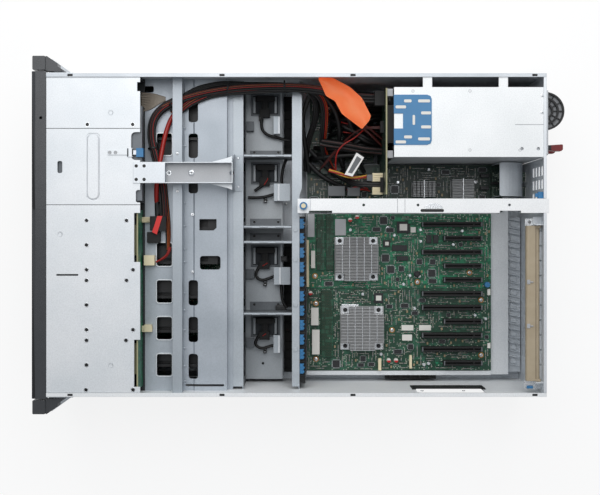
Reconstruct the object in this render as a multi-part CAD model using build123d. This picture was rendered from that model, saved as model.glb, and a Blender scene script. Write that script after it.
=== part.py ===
from build123d import *
import math
import os

# Four-unit rack server with its top cover taken off.
# Millimetres. The front faces -Y, the rear faces +Y, +Z is up.
# The origin lies on the underside of the case, on its centreline.

# Case of bent sheet
chassis_width = 435.0
chassis_height = 172.5
front_y = -340.0
rear_y = 333.0
sheet = 1.2
rim_width = 5.0
rear_sheet = 1.5
rear_flange_depth = 4.0
rim_notch_length = 7.0
rim_notch_width = 3.0
rim_notch_ys = (-307.8, -103.5, 72.6, 317.2)
wall_window_y = 163.0
wall_window_length = 94.0
wall_window_low_z = 88.0
wall_window_height = 55.0
wall_window_corner = 8.0

# Clearances
running_gap = 0.3
far = 1000.0
pin_clearance = 0.05
seam = 0.7

# Top strip at the front: cage, covers and what slides into them
cover_recess = 1.3
cage_height = 45.0
cage_top_z = chassis_height - cover_recess - sheet
cage_floor_z = cage_top_z - cage_height
cage_back_y = -214.0
cage_half_width = 212.0
cover_overlap = 0.3
port_divider_x = -176.2
optical_divider_x = -45.2
drive_column_x = -34.2
drive_column_pitch = 80.6
drive_columns = 3
drive_row_pitch = 21.8
drive_height = 18.6
drive_width = 76.0
drive_front_y = -351.0
ledge_width = 4.0
ledge_thickness = 1.0
left_seam_x = -143.4
right_seam_x = -40.6
cover_hole_radius = 1.9
cover_dimple_radius = 3.4
cover_dimple_depth = 0.5
cover_hole_y = -285.6
cover_inner_hole_y = -231.8
cover_edge_hole_y = -223.2

# Optical drive
optical_width = 128.0
optical_height = 12.7
optical_depth = 126.0
optical_headroom = 16.0
optical_floor_z = cage_top_z - optical_headroom
optical_wall = 1.4
tray_thickness = 7.0
disc_recess_radius = 60.4
disc_recess_depth = 3.0

# Backplane behind the drives
backplane_front_y = -219.0
board_thickness = 2.0
backplane_socket_depth = 5.0

# Perforated shelf over the drawer
deck_top_z = cage_floor_z
deck_front_y = -222.0
deck_step_y = -100.0
deck_foot_end_y = -92.6
trough_start_y = -161.0
trough_width = 16.0
trough_depth = 2.0
cutout_y = (-197.5, -176.6)
cutout_xs = ((-141.0, -111.0), (11.0, 43.0), (63.0, 94.0), (114.0, 145.0), (165.5, 195.5))
cutout_rim = 1.6
cutout_corner = 3.0
cutout_rim_height = 1.2
slot_y = (-153.7, -140.5)
slot_xs = ((-190.0, -157.0), (-141.0, -107.0), (-90.0, -58.0), (63.0, 98.0), (114.0, 149.0), (165.5, 200.0))

# Strut and brace above the shelf
strut_y = -173.4
strut_width = 13.2
strut_rise = 20.0
strut_top_z = deck_top_z + strut_rise
strut_arch_height = 15.0
brace_x = -98.2
brace_width = 28.4
brace_front_y = -223.0
brace_step_y = -181.4
brace_end_y = -90.5
brace_drop = 10.0
brace_floor_z = cage_top_z - brace_drop
brace_foot_x = (-112.0, -61.0)

# Fan cage
rail_drop = 13.0
rail_top_z = deck_top_z - rail_drop
fan_wall_y = -79.2
fan_rail_width = 21.8
fan_floor_top_z = 41.0
fan_floor_back_y = -24.0
fan_rear_wall_y = -0.5
fan_rear_flange = 9.3
fan_rear_wide_flange = 3.5
fan_divider_xs = (-112.0, -12.0, 9.4, 110.0)
fan_window_width = 86.0
fan_window_low_z = 48.0
fan_window_margin = 8.0
fan_window_high_z = rail_top_z - fan_window_margin
fan_bay_centres = (-162.0, -61.5, 60.0, 161.0)
fan_socket_length = 42.6
fan_socket_width = 32.0
fan_socket_y = -70.6
fan_seat_rim = 2.5
fan_seat_height = 2.0
fan_foot_width = 12.0
fan_socket_xs = (-207.0, -106.7, 14.7, 117.7)

# Card guides
guide_start_x = -26.0
guide_end_x = 208.0
guide_depth = 8.4
guide_low_z = 45.0
guide_drop = 4.0
guide_top_z = rail_top_z - guide_drop
clip_height = 5.0

# Boards and expansion slots
tray_top_z = 31.2
board_top_z = 38.5
io_board_thickness = 2.4
io_board_front_y = 12.0
io_board_back_y = 283.0
io_board_left_x = -31.0
io_board_split_x = 79.3
io_board_right_x = 199.5
io_tray_gap = 0.5
io_tray_right_x = 206.5
io_tray_back_y = 310.0
slot_pitch = 20.32
slot_count = 11
first_slot_x = -15.7
slot_back_y = 268.6
long_slot_length = 88.6
short_slot_length = 56.6
long_slot_rows = (0, 2, 5, 6, 8, 9)
slot_body_width = 7.4
slot_body_height = 11.2
system_board_gap = 1.0
system_board_right_x = -34.0
system_board_back_y = 300.0

board_socket_height = 12.0
port_insets = (11.5, 33.5)
port_width = 14.0
port_depth = 18.0
port_height = 13.0
port_opening_height = 11.0
rear_vent_inset = 11.0
rear_vent_pitch_x = 18.0
rear_vent_pitch_z = 17.0
rear_vent_width = 13.0
rear_vent_height = 9.0
rear_vent_drop = 76.5
board_socket_ys = (18.0, 52.0, 86.0)
board_socket_width = 8.0
board_socket_length = 24.0
power_board_left_x = -207.0
power_board_y = (16.0, 110.0)
power_board_thickness = 2.1
standoff_radius = 3.0

# Heatsinks of the boards
sink_size = 64.0
sink_base = 4.0
sink_height = 20.0
sink_columns = 6
sink_rows = 12
sink_corner = 12.5
sink_pin_hole = 2.2
upper_sink = (3.0, 52.4)
lower_sink = (104.5, 60.4)
small_sink_insets = ((25.5, 165.5, 22.0, 33.8), (22.7, 222.7, 26.0, 33.0))

# Power supplies
psu_left_x = -195.0
psu_width = 86.0
psu_gap = 1.8
psu_headroom = 2.7
psu_length = 205.7
psu_inner_y = 130.3
psu_count = 4
psu_first_z = 2.6
psu_pitch = (chassis_height - psu_first_z - psu_headroom) / psu_count
psu_height = psu_pitch - psu_gap
psu_cage_margin = 4.0
psu_cage_front_y = 128.0
psu_ledge_width = 7.0
psu_strap_ys = (166.7, 268.8)
psu_strap_width = 12.5
psu_arm_width = 10.0
psu_plug_width = 52.0
psu_plug_rise = 9.0
psu_plug_height = 9.0
psu_inlet_inset = 31.0
psu_inlet_width = 17.0
psu_inlet_depth = 14.0
psu_inlet_height = 24.0
psu_ring_pitch = 7.5
psu_ring_width = 2.6
psu_handle_radius = 26.0
psu_handle_thickness = 9.0
psu_latch_pin_radius = 1.5
psu_latch_length = 19.5
psu_backplane_y = 117.5
psu_backplane_right_x = -55.0
psu_backplane_low_z = 6.0
psu_backplane_drop = 6.8
psu_backplane_step_z = 62.0

# Cross bar between the fan cage and the rear
bar_left_x = -49.0
bar_width = 19.4
bar_front_y = -2.0
bar_back_y = 336.0
bar_recess = 0.2
bar_top_z = chassis_height - bar_recess
bar_depth = 12.0
bar_tab_length = 19.0
bar_tab_drop = 6.0
bar_screw_y = 6.0
bar_screw_radius = 2.5
bar_screw_head_radius = 5.2

# Rear of the expansion bay
slot_window_width = 13.0
slot_window_low_z = 46.0
bracket_width = 18.4
bracket_low_z = 40.0
bracket_drop = 23.5
bracket_top_z = chassis_height - bracket_drop
slot_window_margin = 9.0
slot_window_high_z = bracket_top_z - slot_window_margin
bracket_tab_depth = 12.0
bracket_thickness = 1.0
retainer_pin_y = 326.0
retainer_rise = 9.0
retainer_pin_z = bracket_top_z + retainer_rise
retainer_pin_radius = 1.5
retainer_depth = 17.0

# Front bezel and rack ears
bezel_front_y = -357.0
bezel_lip = 3.0
bezel_overhang = 3.0
bezel_half_width = chassis_width / 2 + bezel_overhang
bezel_recess = 1.5
bezel_low_z = cage_floor_z
bezel_top_z = chassis_height - bezel_recess
bezel_wall = 2.5
bezel_gap_y = 0.5
button_radius = 6.0
button_x = -194.0
button_rise = 25.0
button_z = bezel_low_z + button_rise
ear_width = 23.8
ear_reach = chassis_width / 2 + ear_width
ear_thickness = 2.0
ear_low_z = 3.0
ear_return = 36.0
ear_slot_inset_x = 8.75
ear_slot_inset_z = 35.45
ear_slot_spacing_x = 2 * (ear_reach - ear_slot_inset_x)
ear_slot_spacing_z = chassis_height - 2 * ear_slot_inset_z
ear_slot_width = 7.1
ear_slot_length = 10.3
ear_lever_room = 28.5
ear_lever_lift = 6.0
ear_lever_recess = 2.0
ear_pin_lift = 9.0
ear_notch_z = chassis_height - ear_lever_room
ear_lever_low_z = ear_notch_z + ear_lever_lift
ear_lever_top_z = chassis_height - ear_lever_recess
ear_pin_z = ear_notch_z + ear_pin_lift
ear_pin_y = -336.0
ear_pin_radius = 2.0

# Processor drawer
drawer_half_width = 206.0
drawer_floor_z = 4.0
drawer_wall_height = 58.0
drawer_back_y = -106.0
runner_x = 178.0
runner_width = 10.0
drawer_face_half_width = 211.0
drawer_face_gap = 4.0
drawer_face_top_z = cage_floor_z - drawer_face_gap
drawer_step_z = 27.0
drawer_step_y = -346.0
drawer_vent_columns = 32
drawer_vent_pitch = 12.5
drawer_vent_width = 6.5
drawer_lever_length = 92.0
drawer_lever_height = 17.0
drawer_pin_radius = 2.0
drawer_pin_inset = 8.0
cpu_board_z = 10.0
drawer_socket_xs = (-120.0, 0.0, 120.0)
drawer_port_width = 64.0
drawer_port_low_z = 8.0
drawer_port_high_z = 34.0
drawer_plug_width = 50.0
drawer_plug_rise = 4.0
drawer_plug_height = 13.0
cpu_sink_count = 4
cpu_sink_fins = 9
cpu_sink_pitch = 98.0
cpu_sink_width = 84.0
cpu_sink_depth = 78.0
cpu_sink_height = 56.0
cpu_sink_front_y = -330.0
cartridge_count = 8
cartridge_pitch = 48.0
cartridge_width = 34.0
cartridge_front_y = -238.0
cartridge_back_y = -114.0
cartridge_recess = 9.0
cartridge_top_z = drawer_face_top_z - cartridge_recess

# Cables
main_bundle_radius = 6.5
red_sleeve_radius = 3.2
fan_lead_radius = 1.5

# Values that follow from the driving dimensions
half_width = chassis_width / 2
wall_x = half_width - sheet
rim_x = half_width - rim_width
rim_under_z = chassis_height - sheet
cover_top_z = cage_top_z + sheet
cover_edge_x = rim_x - cover_overlap
board_under_z = board_top_z - io_board_thickness
rear_inner_y = rear_y - rear_sheet
psu_cage_left_x = psu_left_x - psu_cage_margin
psu_cage_right_x = psu_left_x + psu_width + psu_cage_margin
psu_cage_top_z = psu_first_z + psu_pitch * psu_count
psu_backplane_top_z = psu_cage_top_z - psu_backplane_drop
psu_face_y = psu_inner_y + psu_length
io_tray_left_x = psu_cage_right_x + io_tray_gap
system_board_left_x = io_tray_left_x + system_board_gap
port_xs = tuple(system_board_left_x + inset for inset in port_insets)
small_sinks = tuple((system_board_left_x + inset, *rest) for inset, *rest in small_sink_insets)
runner_top_z = drawer_floor_z - running_gap
brace_right_x = brace_x + brace_width
bar_right_x = bar_left_x + bar_width
cage_inner_z = cage_floor_z + sheet
optical_middle_x = (port_divider_x + sheet + optical_divider_x) / 2
bar_rear_end = rear_y - rear_flange_depth - running_gap
bar_middle_x = (bar_left_x + bar_right_x) / 2
bar_tab_top_z = bar_top_z - bar_tab_drop
drawer_pin_y = drawer_step_y - 5.2
bundle_z = deck_top_z + cutout_rim_height + running_gap + main_bundle_radius
sleeve_z = deck_top_z + cutout_rim_height + running_gap + red_sleeve_radius
retainer_left_x = first_slot_x + 3.0
retainer_right_x = first_slot_x + (slot_count - 1) * slot_pitch + 11.0


def block(x0, x1, y0, y1, z0, z1):
    """Cuboid between two opposite corners."""
    centre = Pos((x0 + x1) / 2, (y0 + y1) / 2, (z0 + z1) / 2)
    return centre * Box(x1 - x0, y1 - y0, z1 - z0)


def prism(points, axis, start, end):
    """Polygon drawn across an axis and pulled along it from start to end."""
    if axis == "x":
        corners = [(start, a, b) for a, b in points]
        direction = (1, 0, 0)
    elif axis == "y":
        corners = [(a, start, b) for a, b in points]
        direction = (0, 1, 0)
    else:
        corners = [(a, b, start) for a, b in points]
        direction = (0, 0, 1)
    outline = Wire.make_polygon([Vector(*corner) for corner in corners], close=True)
    return extrude(Face(outline), amount=end - start, dir=direction)


def post(x, y, z0, z1, radius):
    """Upright round post or hole."""
    return Pos(x, y, (z0 + z1) / 2) * Cylinder(radius, z1 - z0)


def rod_x(x0, x1, y, z, radius):
    """Round rod or hole along X."""
    return Pos((x0 + x1) / 2, y, z) * Rot(0, 90, 0) * Cylinder(radius, x1 - x0)


def rod_y(x, y0, y1, z, radius):
    """Round rod or hole along Y."""
    return Pos(x, (y0 + y1) / 2, z) * Rot(90, 0, 0) * Cylinder(radius, y1 - y0)


def rounded_block(x0, x1, y0, y1, z0, z1, radius):
    """Cuboid with its four upright edges rounded."""
    outline = Pos((x0 + x1) / 2, (y0 + y1) / 2, z0) * RectangleRounded(x1 - x0, y1 - y0, radius)
    return extrude(outline, amount=z1 - z0, dir=(0, 0, 1))


def group(pieces):
    """Several separate solids kept together under one name."""
    return Compound([solid for piece in pieces for solid in piece.solids()])


def lengths(shape, axis, places):
    """A shape cut into separate lengths at the given places along X, Y or Z."""
    ends = [-far] + sorted(places) + [far]
    pieces = []
    for low, high in zip(ends, ends[1:]):
        reach = {"x": (-far, far), "y": (-far, far), "z": (-far, far)}
        reach[axis] = (low, high)
        part = shape & block(*reach["x"], *reach["y"], *reach["z"])
        pieces += part.solids()
    return pieces


def make_chassis_pan():
    """Floor, side walls and inward rims bent from one sheet, with ribs that carry the drawer."""
    section = [
        (-half_width, 0),
        (half_width, 0),
        (half_width, chassis_height),
        (rim_x, chassis_height),
        (rim_x, rim_under_z),
        (wall_x, rim_under_z),
        (wall_x, sheet),
        (-wall_x, sheet),
        (-wall_x, rim_under_z),
        (-rim_x, rim_under_z),
        (-rim_x, chassis_height),
        (-half_width, chassis_height),
    ]
    pan = prism(section, "y", front_y, rear_y)
    notch_mid_x = half_width - rim_width / 2
    cuts = []
    for side in (-1, 1):
        for notch_y in rim_notch_ys:
            centre = Pos(side * notch_mid_x, notch_y, chassis_height)
            cuts.append(centre * Box(rim_notch_width, rim_notch_length, 3 * sheet))
    window_end_y = wall_window_y + wall_window_length
    window_top_z = wall_window_low_z + wall_window_height
    window = block(wall_x - 1, half_width + 1, wall_window_y, window_end_y, wall_window_low_z, window_top_z)
    cuts.append(fillet(window.edges().filter_by(Axis.X), wall_window_corner))
    pan -= cuts
    for side in (-1, 1):
        inner_x = side * runner_x
        outer_x = side * (runner_x + runner_width)
        low_x = min(inner_x, outer_x)
        high_x = max(inner_x, outer_x)
        pan += block(low_x, high_x, front_y + 4, drawer_back_y, sheet, runner_top_z)
    return pan


def slot_x(index):
    """Centre of an expansion slot."""
    return first_slot_x + index * slot_pitch


def make_rear_panel():
    """Rear sheet with windows for the power supplies, the ports and each expansion slot."""
    panel = block(-wall_x, wall_x, rear_inner_y, rear_y, sheet, rim_under_z)
    flange_y = rear_y - rear_flange_depth
    panel += block(-cover_edge_x, cover_edge_x, flange_y, rear_y, rim_under_z, chassis_height)
    cuts = [
        block(
            psu_cage_left_x - running_gap,
            psu_cage_right_x + running_gap,
            rear_inner_y - 1,
            rear_y + 1,
            psu_first_z - 0.4,
            psu_cage_top_z + running_gap,
        )
    ]
    for index in range(slot_count):
        centre_x = slot_x(index)
        half = slot_window_width / 2
        cuts.append(
            block(
                centre_x - half,
                centre_x + half,
                rear_inner_y - 1,
                rear_y + 1,
                slot_window_low_z,
                slot_window_high_z,
            )
        )
    y0, y1 = rear_inner_y - 1, rear_y + 1
    for column in range(3):
        for row in range(4):
            vent_x = psu_cage_right_x + rear_vent_inset + column * rear_vent_pitch_x
            vent_z = chassis_height - rear_vent_drop + row * rear_vent_pitch_z
            cuts.append(block(vent_x, vent_x + rear_vent_width, y0, y1, vent_z, vent_z + rear_vent_height))
    port_low = board_top_z + 1
    for port_x in port_xs:
        cuts.append(block(port_x, port_x + port_width, y0, y1, port_low, port_low + port_opening_height))
    bar_x0, bar_x1 = bar_left_x - running_gap, bar_right_x + running_gap
    bar_low = bar_top_z - sheet - running_gap
    cuts.append(block(bar_x0, bar_x1, flange_y - 1, y1, bar_low, bar_top_z + 1))
    panel -= cuts
    pin_hole = retainer_pin_radius + pin_clearance
    for ear_x in (retainer_left_x - 2, retainer_right_x + 0.5):
        ear_low = retainer_pin_z - 8
        ear = block(ear_x, ear_x + 1.5, retainer_pin_y - 6, rear_inner_y, ear_low, ear_low + 16)
        ear -= rod_x(ear_x - 1, ear_x + 3, retainer_pin_y, retainer_pin_z, pin_hole)
        panel += ear
    return panel


def make_slot_covers():
    """Blank brackets, each a strip with a tab bent inward at its top."""
    covers = []
    for index in range(slot_count):
        left = slot_x(index) - bracket_width / 2
        right = left + bracket_width
        face_y = rear_inner_y - bracket_thickness
        section = [
            (rear_inner_y, bracket_low_z),
            (rear_inner_y, bracket_top_z),
            (rear_inner_y - bracket_tab_depth, bracket_top_z),
            (rear_inner_y - bracket_tab_depth, bracket_top_z - bracket_thickness),
            (face_y, bracket_top_z - bracket_thickness),
            (face_y, bracket_low_z),
        ]
        covers.append(prism(section, "x", left, right))
    return group(covers)


def column_x(index):
    """Left face of the divider that starts a drive column."""
    return drive_column_x + index * drive_column_pitch


def row_z(index):
    """Underside of a drive in its row."""
    return cage_inner_z + running_gap + index * drive_row_pitch


def make_drive_cage():
    """Floor and upright dividers of the front strip, with ledges for the drives."""
    cage = block(-wall_x, wall_x, front_y, cage_back_y, cage_floor_z, cage_inner_z)
    for wall in (-cage_half_width, port_divider_x, optical_divider_x):
        cage += block(wall, wall + sheet, front_y, cage_back_y, cage_inner_z, cage_top_z)
    for index in range(drive_columns + 1):
        wall = column_x(index)
        cage += block(wall, wall + sheet, front_y, backplane_front_y, cage_inner_z, cage_top_z)
    ledge_top = row_z(1) - running_gap
    ledge_end = backplane_front_y - 6
    for index in range(drive_columns):
        left = column_x(index) + sheet
        right = column_x(index + 1)
        cage += block(left, left + ledge_width, front_y, ledge_end, ledge_top - ledge_thickness, ledge_top)
        cage += block(right - ledge_width, right, front_y, ledge_end, ledge_top - ledge_thickness, ledge_top)
    left = port_divider_x + sheet
    right = optical_divider_x
    shelf_low = optical_floor_z - ledge_thickness
    cage += block(left, left + 2 * ledge_width, front_y, cage_back_y, shelf_low, optical_floor_z)
    cage += block(right - 2 * ledge_width, right, front_y, cage_back_y, shelf_low, optical_floor_z)
    return cage


def make_cage_covers():
    """Three plates over the front strip, with rivet holes, a pressed bar and notches at the back."""
    back = cage_back_y + 0.3
    low, high = cage_top_z, cover_top_z
    left = block(-cover_edge_x, left_seam_x - seam / 2, front_y, back, low, high)
    middle = block(left_seam_x + seam / 2, right_seam_x - seam / 2, front_y, back, low, high)
    right = block(right_seam_x + seam / 2, cover_edge_x, front_y, back, low, high)

    left_hole_x = left_seam_x - 5
    for hole_y in (cover_hole_y, cover_edge_hole_y):
        left -= post(left_hole_x, hole_y, low - 1, high + 1, cover_hole_radius)
    left -= post(-164.6, -253.3, high - cover_dimple_depth, high + 1, cover_dimple_radius)
    left -= block(-205.6, -193.5, back - 4, back + 1, low - 1, high + 1)

    press_low = high - sheet / 2
    middle -= rounded_block(-137.0, -46.4, -285.6, -268.1, press_low, high + 1, 5)
    middle -= rounded_block(-99.5, -83.3, -325.0, -318.5, low - 1, high + 1, 2.5)
    middle -= rounded_block(-138.4, -100.8, -225.8, back + 12, low - 1, high + 1, 6)
    middle -= rounded_block(-60.5, -43.7, -219.5, back + 12, low - 1, high + 1, 3)

    cuts = []
    for index in range(drive_columns):
        start = column_x(index) + sheet / 2
        end = start + drive_column_pitch
        cuts.append(post(start + 14.3, cover_hole_y, low - 1, high + 1, cover_hole_radius))
        cuts.append(post(start + 14.3, cover_inner_hole_y, low - 1, high + 1, cover_hole_radius))
        cuts.append(post(start + 47.2, cover_hole_y, low - 1, high + 1, cover_hole_radius))
        cuts.append(post(end, cover_edge_hole_y, high - sheet / 2, high + 1, cover_hole_radius))
        cuts.append(post(end, cover_hole_y, high - sheet / 2, high + 1, cover_hole_radius))
    cuts.append(rounded_block(52.6, 54.9, -326.6, -297.0, low - 1, high + 1, 1.1))
    cuts.append(block(-29.6, 36.3, -221.8, back + 1, low - 1, high + 1))
    cuts.append(block(141.0, 204.3, -221.8, back + 1, low - 1, high + 1))
    cuts.append(post(-1.0, -321.5, high - cover_dimple_depth, high + 1, cover_dimple_radius))
    cuts.append(post(175.7, -253.3, high - cover_dimple_depth, high + 1, cover_dimple_radius))
    right -= cuts
    return group([left, middle, right])


def make_drive_backplane():
    """Upright board behind the drives with one socket per drive."""
    left = column_x(0)
    right = column_x(drive_columns) + sheet
    low = cage_inner_z + 1
    board = block(left, right, backplane_front_y, backplane_front_y + board_thickness, low, cage_top_z - 2)
    for column in range(drive_columns):
        for row in range(2):
            middle_x = column_x(column) + sheet / 2 + drive_column_pitch / 2
            z = row_z(row) + 5
            front = backplane_front_y - backplane_socket_depth
            board += block(middle_x - 21, middle_x + 21, front, backplane_front_y, z, z + 6)
    return board


def make_mid_shelf():
    """Shelf over the drawer, folded down at its back, with rimmed cut-outs and cooling slots."""
    top = deck_top_z
    under = deck_top_z - sheet
    trough_end = trough_start_y + trough_width
    slope = trough_depth
    section = [
        (deck_front_y, top),
        (trough_start_y, top),
        (trough_start_y + slope, top - trough_depth),
        (trough_end - slope, top - trough_depth),
        (trough_end, top),
        (deck_step_y, top),
        (deck_step_y, rail_top_z + sheet),
        (deck_foot_end_y, rail_top_z + sheet),
        (deck_foot_end_y, rail_top_z),
        (deck_step_y - sheet, rail_top_z),
        (deck_step_y - sheet, under),
        (trough_end - 0.5, under),
        (trough_end - slope - 0.5, under - trough_depth),
        (trough_start_y + slope + 0.5, under - trough_depth),
        (trough_start_y + 0.5, under),
        (deck_front_y, under),
    ]
    shelf = prism(section, "x", -wall_x, wall_x)
    y0, y1 = cutout_y
    rim = cutout_rim
    rim_top = top + cutout_rim_height
    for x0, x1 in cutout_xs:
        shelf += rounded_block(x0 - rim, x1 + rim, y0 - rim, y1 + rim, under, rim_top, cutout_corner + rim)
    cuts = []
    for x0, x1 in cutout_xs:
        cuts.append(rounded_block(x0, x1, y0, y1, under - 4, top + 4, cutout_corner))
    for x0, x1 in slot_xs:
        cuts.append(rounded_block(x0, x1, slot_y[0], slot_y[1], under - 4, top + 4, 4))
    cuts.append(rounded_block(29.2, 48.1, -137.7, -109.2, under - 4, top + 4, 4))
    corner_cut = [(-22, -138.4), (-6.4, -138.4), (-6.4, -119), (-10, -114.7), (-22, -114.7)]
    cuts.append(prism(corner_cut, "z", under - 4, top + 4))
    cuts.append(rounded_block(-207.0, -198.0, -219.0, -202.0, under - 4, top + 4, 3))
    cuts.append(rounded_block(207.5, 210.5, -158.0, -104.0, under - 4, top + 4, 1.4))
    shelf -= cuts
    return shelf


def make_shelf_strut():
    """Upturned channel that ties the side walls together, with an arch for the cables."""
    y0 = strut_y
    y1 = strut_y + strut_width
    section = [
        (y0, deck_top_z),
        (y0, strut_top_z),
        (y1, strut_top_z),
        (y1, deck_top_z),
        (y1 - sheet, deck_top_z),
        (y1 - sheet, strut_top_z - sheet),
        (y0 + sheet, strut_top_z - sheet),
        (y0 + sheet, deck_top_z),
    ]
    strut = prism(section, "x", -wall_x, wall_x)
    arch_top = deck_top_z + strut_arch_height
    strut -= block(-208, -150, y0 - 1, y1 + 1, deck_top_z - 1, arch_top)
    for hole_x in (-112.5, -60.3):
        strut -= post(hole_x, y0 + strut_width / 2, strut_top_z - 3, strut_top_z + 1, 1.8)
    return strut


def make_brace_channel():
    """Brace from the drive cage to the fan cage: a flat plate, then a channel, then a riveted foot."""
    top = cover_top_z + sheet
    under = cover_top_z
    left, right = brace_x, brace_right_x
    section = [
        (brace_front_y, under),
        (brace_front_y, top),
        (brace_step_y + sheet, top),
        (brace_step_y + sheet, brace_floor_z + sheet),
        (brace_end_y, brace_floor_z + sheet),
        (brace_end_y, brace_floor_z),
        (brace_step_y, brace_floor_z),
        (brace_step_y, under),
    ]
    brace = prism(section, "x", left, right)
    for side_x in (left, right - sheet):
        brace += block(side_x, side_x + sheet, brace_step_y, brace_end_y, brace_floor_z, top)
    foot_left, foot_right = brace_foot_x
    rail = rail_top_z
    brace += block(left, right, brace_end_y, brace_end_y + sheet, rail, top)
    gusset_left = [(left, top), (left, rail), (foot_left, rail), (foot_left, rail + 16)]
    gusset_right = [(right, top), (right, rail), (foot_right, rail), (foot_right, rail + 16)]
    brace += prism(gusset_left, "y", brace_end_y, brace_end_y + sheet)
    brace += prism(gusset_right, "y", brace_end_y, brace_end_y + sheet)
    brace += block(foot_left, foot_right, brace_end_y, brace_end_y + 11, rail, rail + sheet)
    cuts = []
    for hole_y in (-218.8, -208.2):
        for hole_x in (left + 5.3, right - 4.8):
            cuts.append(post(hole_x, hole_y, under - 1, top + 1, 1.8))
    middle = (left + right) / 2
    cuts.append(post(middle, -174.5, brace_floor_z - 1, brace_floor_z + 3, 2.0))
    cuts.append(post(middle, brace_end_y, brace_floor_z - 1, brace_floor_z + 3, 3.5))
    for hole_x in (-107.6, -67.3):
        cuts.append(post(hole_x, -85.3, rail - 1, rail + 3, 1.6))
    brace -= cuts
    return brace


def fan_windows(y0, y1):
    """Window cutters, one for each fan bay."""
    windows = []
    for centre in fan_bay_centres:
        half = fan_window_width / 2
        windows.append(block(centre - half, centre + half, y0, y1, fan_window_low_z, fan_window_high_z))
    return windows


def make_fan_front_wall():
    """Wall between the drawer and the fans, folded forward at its top to carry the shelf."""
    wall = block(-wall_x, wall_x, fan_wall_y, fan_wall_y + sheet, sheet, rail_top_z)
    rail_start = fan_wall_y + sheet - fan_rail_width
    rail = block(-rim_x, rim_x, rail_start, fan_wall_y + sheet, rail_top_z - sheet, rail_top_z)
    rail -= block(-rim_x - 1, -200, rail_start - 1, fan_wall_y - 6, rail_top_z - 3, rail_top_z + 1)
    wall -= rail
    y0 = fan_wall_y - 1
    y1 = fan_wall_y + sheet + 1
    cuts = fan_windows(y0, y1)
    port_sides = []
    for socket_x in drawer_socket_xs:
        left = socket_x - drawer_port_width / 2
        right = socket_x + drawer_port_width / 2
        cuts.append(block(left, right, y0, y1, drawer_port_low_z, drawer_port_high_z))
        port_sides += [left, right]
    wall -= cuts
    lower, *posts, upper = lengths(wall, "z", [fan_window_low_z, fan_window_high_z])
    return group([rail, upper] + posts + lengths(lower, "x", port_sides))


def make_fan_rear_wall():
    """Wall behind the fans, folded toward them at its top, with a fork for the screw of the cross bar."""
    y0 = fan_rear_wall_y
    y1 = y0 + sheet
    wall = block(-wall_x, wall_x, y0, y1, sheet, rail_top_z)
    front = y0 - fan_rear_flange
    wide = y1 + fan_rear_wide_flange
    flange = [
        (-202, front),
        (rim_x, front),
        (rim_x, y1),
        (-55, y1),
        (-66, wide),
        (-196, wide),
        (-202, wide - 5),
    ]
    wall += prism(flange, "z", rail_top_z - sheet, rail_top_z)
    wall += block(-rim_x, -202, front, front + 5, rail_top_z - sheet, rail_top_z)
    for boss_x in (-7.7, 34.4, 97.5, 160.6):
        wall += post(boss_x, front + 5, rail_top_z, rail_top_z + 1.5, 3.2)
    seat_z = bar_tab_top_z - sheet - running_gap
    wall += block(bar_left_x, bar_right_x, y0, y1, rail_top_z, seat_z)
    wall -= fan_windows(y0 - 1, y1 + 1)
    wall -= block(-60, 60, y0 - 1, y1 + 1, 4, drawer_port_high_z)
    reach = bar_screw_radius + running_gap
    prongs = [
        block(bar_left_x, bar_middle_x - reach, y1, bar_screw_y + 6, seat_z - sheet, seat_z),
        block(bar_middle_x + reach, bar_right_x, y1, bar_screw_y + 6, seat_z - sheet, seat_z),
    ]
    return group([wall] + prongs)


def make_fan_bay_floor():
    """Raised floor of the fan bays, with a raised square seat for each fan plug."""
    low = fan_floor_top_z - sheet
    front = fan_wall_y + sheet
    back = fan_floor_back_y
    section = [
        (front, low),
        (front, fan_floor_top_z),
        (back, fan_floor_top_z),
        (back, sheet),
        (back - sheet, sheet),
        (back - sheet, low),
    ]
    floor = prism(section, "x", -cage_half_width, cage_half_width)
    seat_top = fan_floor_top_z + fan_seat_height
    seat_end_y = fan_socket_y + fan_socket_length
    for seat_x in fan_socket_xs:
        right = seat_x + fan_socket_width
        rim = fan_seat_rim
        outer = block(seat_x, right, fan_socket_y, seat_end_y, fan_floor_top_z, seat_top)
        inner = block(seat_x + rim, right - rim, fan_socket_y + rim, seat_end_y - rim, low - 1, seat_top + 1)
        floor += outer - inner
    return floor


def make_fan_dividers():
    """Upright sheets that part the fan bays, each with a foot and a folded top."""
    dividers = []
    front = fan_wall_y + sheet
    back = fan_rear_wall_y - fan_rear_flange
    top = rail_top_z - sheet
    foot_end = fan_floor_back_y - 2
    for divider_x in fan_divider_xs:
        sheet_body = block(divider_x, divider_x + sheet, front, back, fan_floor_top_z, top)
        foot_x = divider_x - fan_foot_width
        foot = block(foot_x, divider_x, front + 6, foot_end, fan_floor_top_z, fan_floor_top_z + sheet)
        for hole_y in (-65.6, -30.5):
            foot -= post(foot_x + 4, hole_y, fan_floor_top_z - 1, fan_floor_top_z + 3, 1.7)
        cap = block(divider_x - 1.5, divider_x + sheet + 1.5, front, back, top - sheet, top)
        dividers.append(sheet_body + foot + cap)
    return group(dividers)


def make_fan_connectors():
    """Black T-shaped plugs that stand in the fan seats."""
    plugs = []
    for seat_x in fan_socket_xs:
        base = fan_floor_top_z
        bar_x = seat_x + 5
        plug = block(bar_x, bar_x + 6, -63, -37, base, base + 12)
        plug += block(bar_x + 6, bar_x + 18, -54, -45, base, base + 12)
        plug += block(bar_x + 18, bar_x + 30, -58, -43, base + 2.3, base + 14)
        plugs.append(plug)
    return group(plugs)


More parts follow.
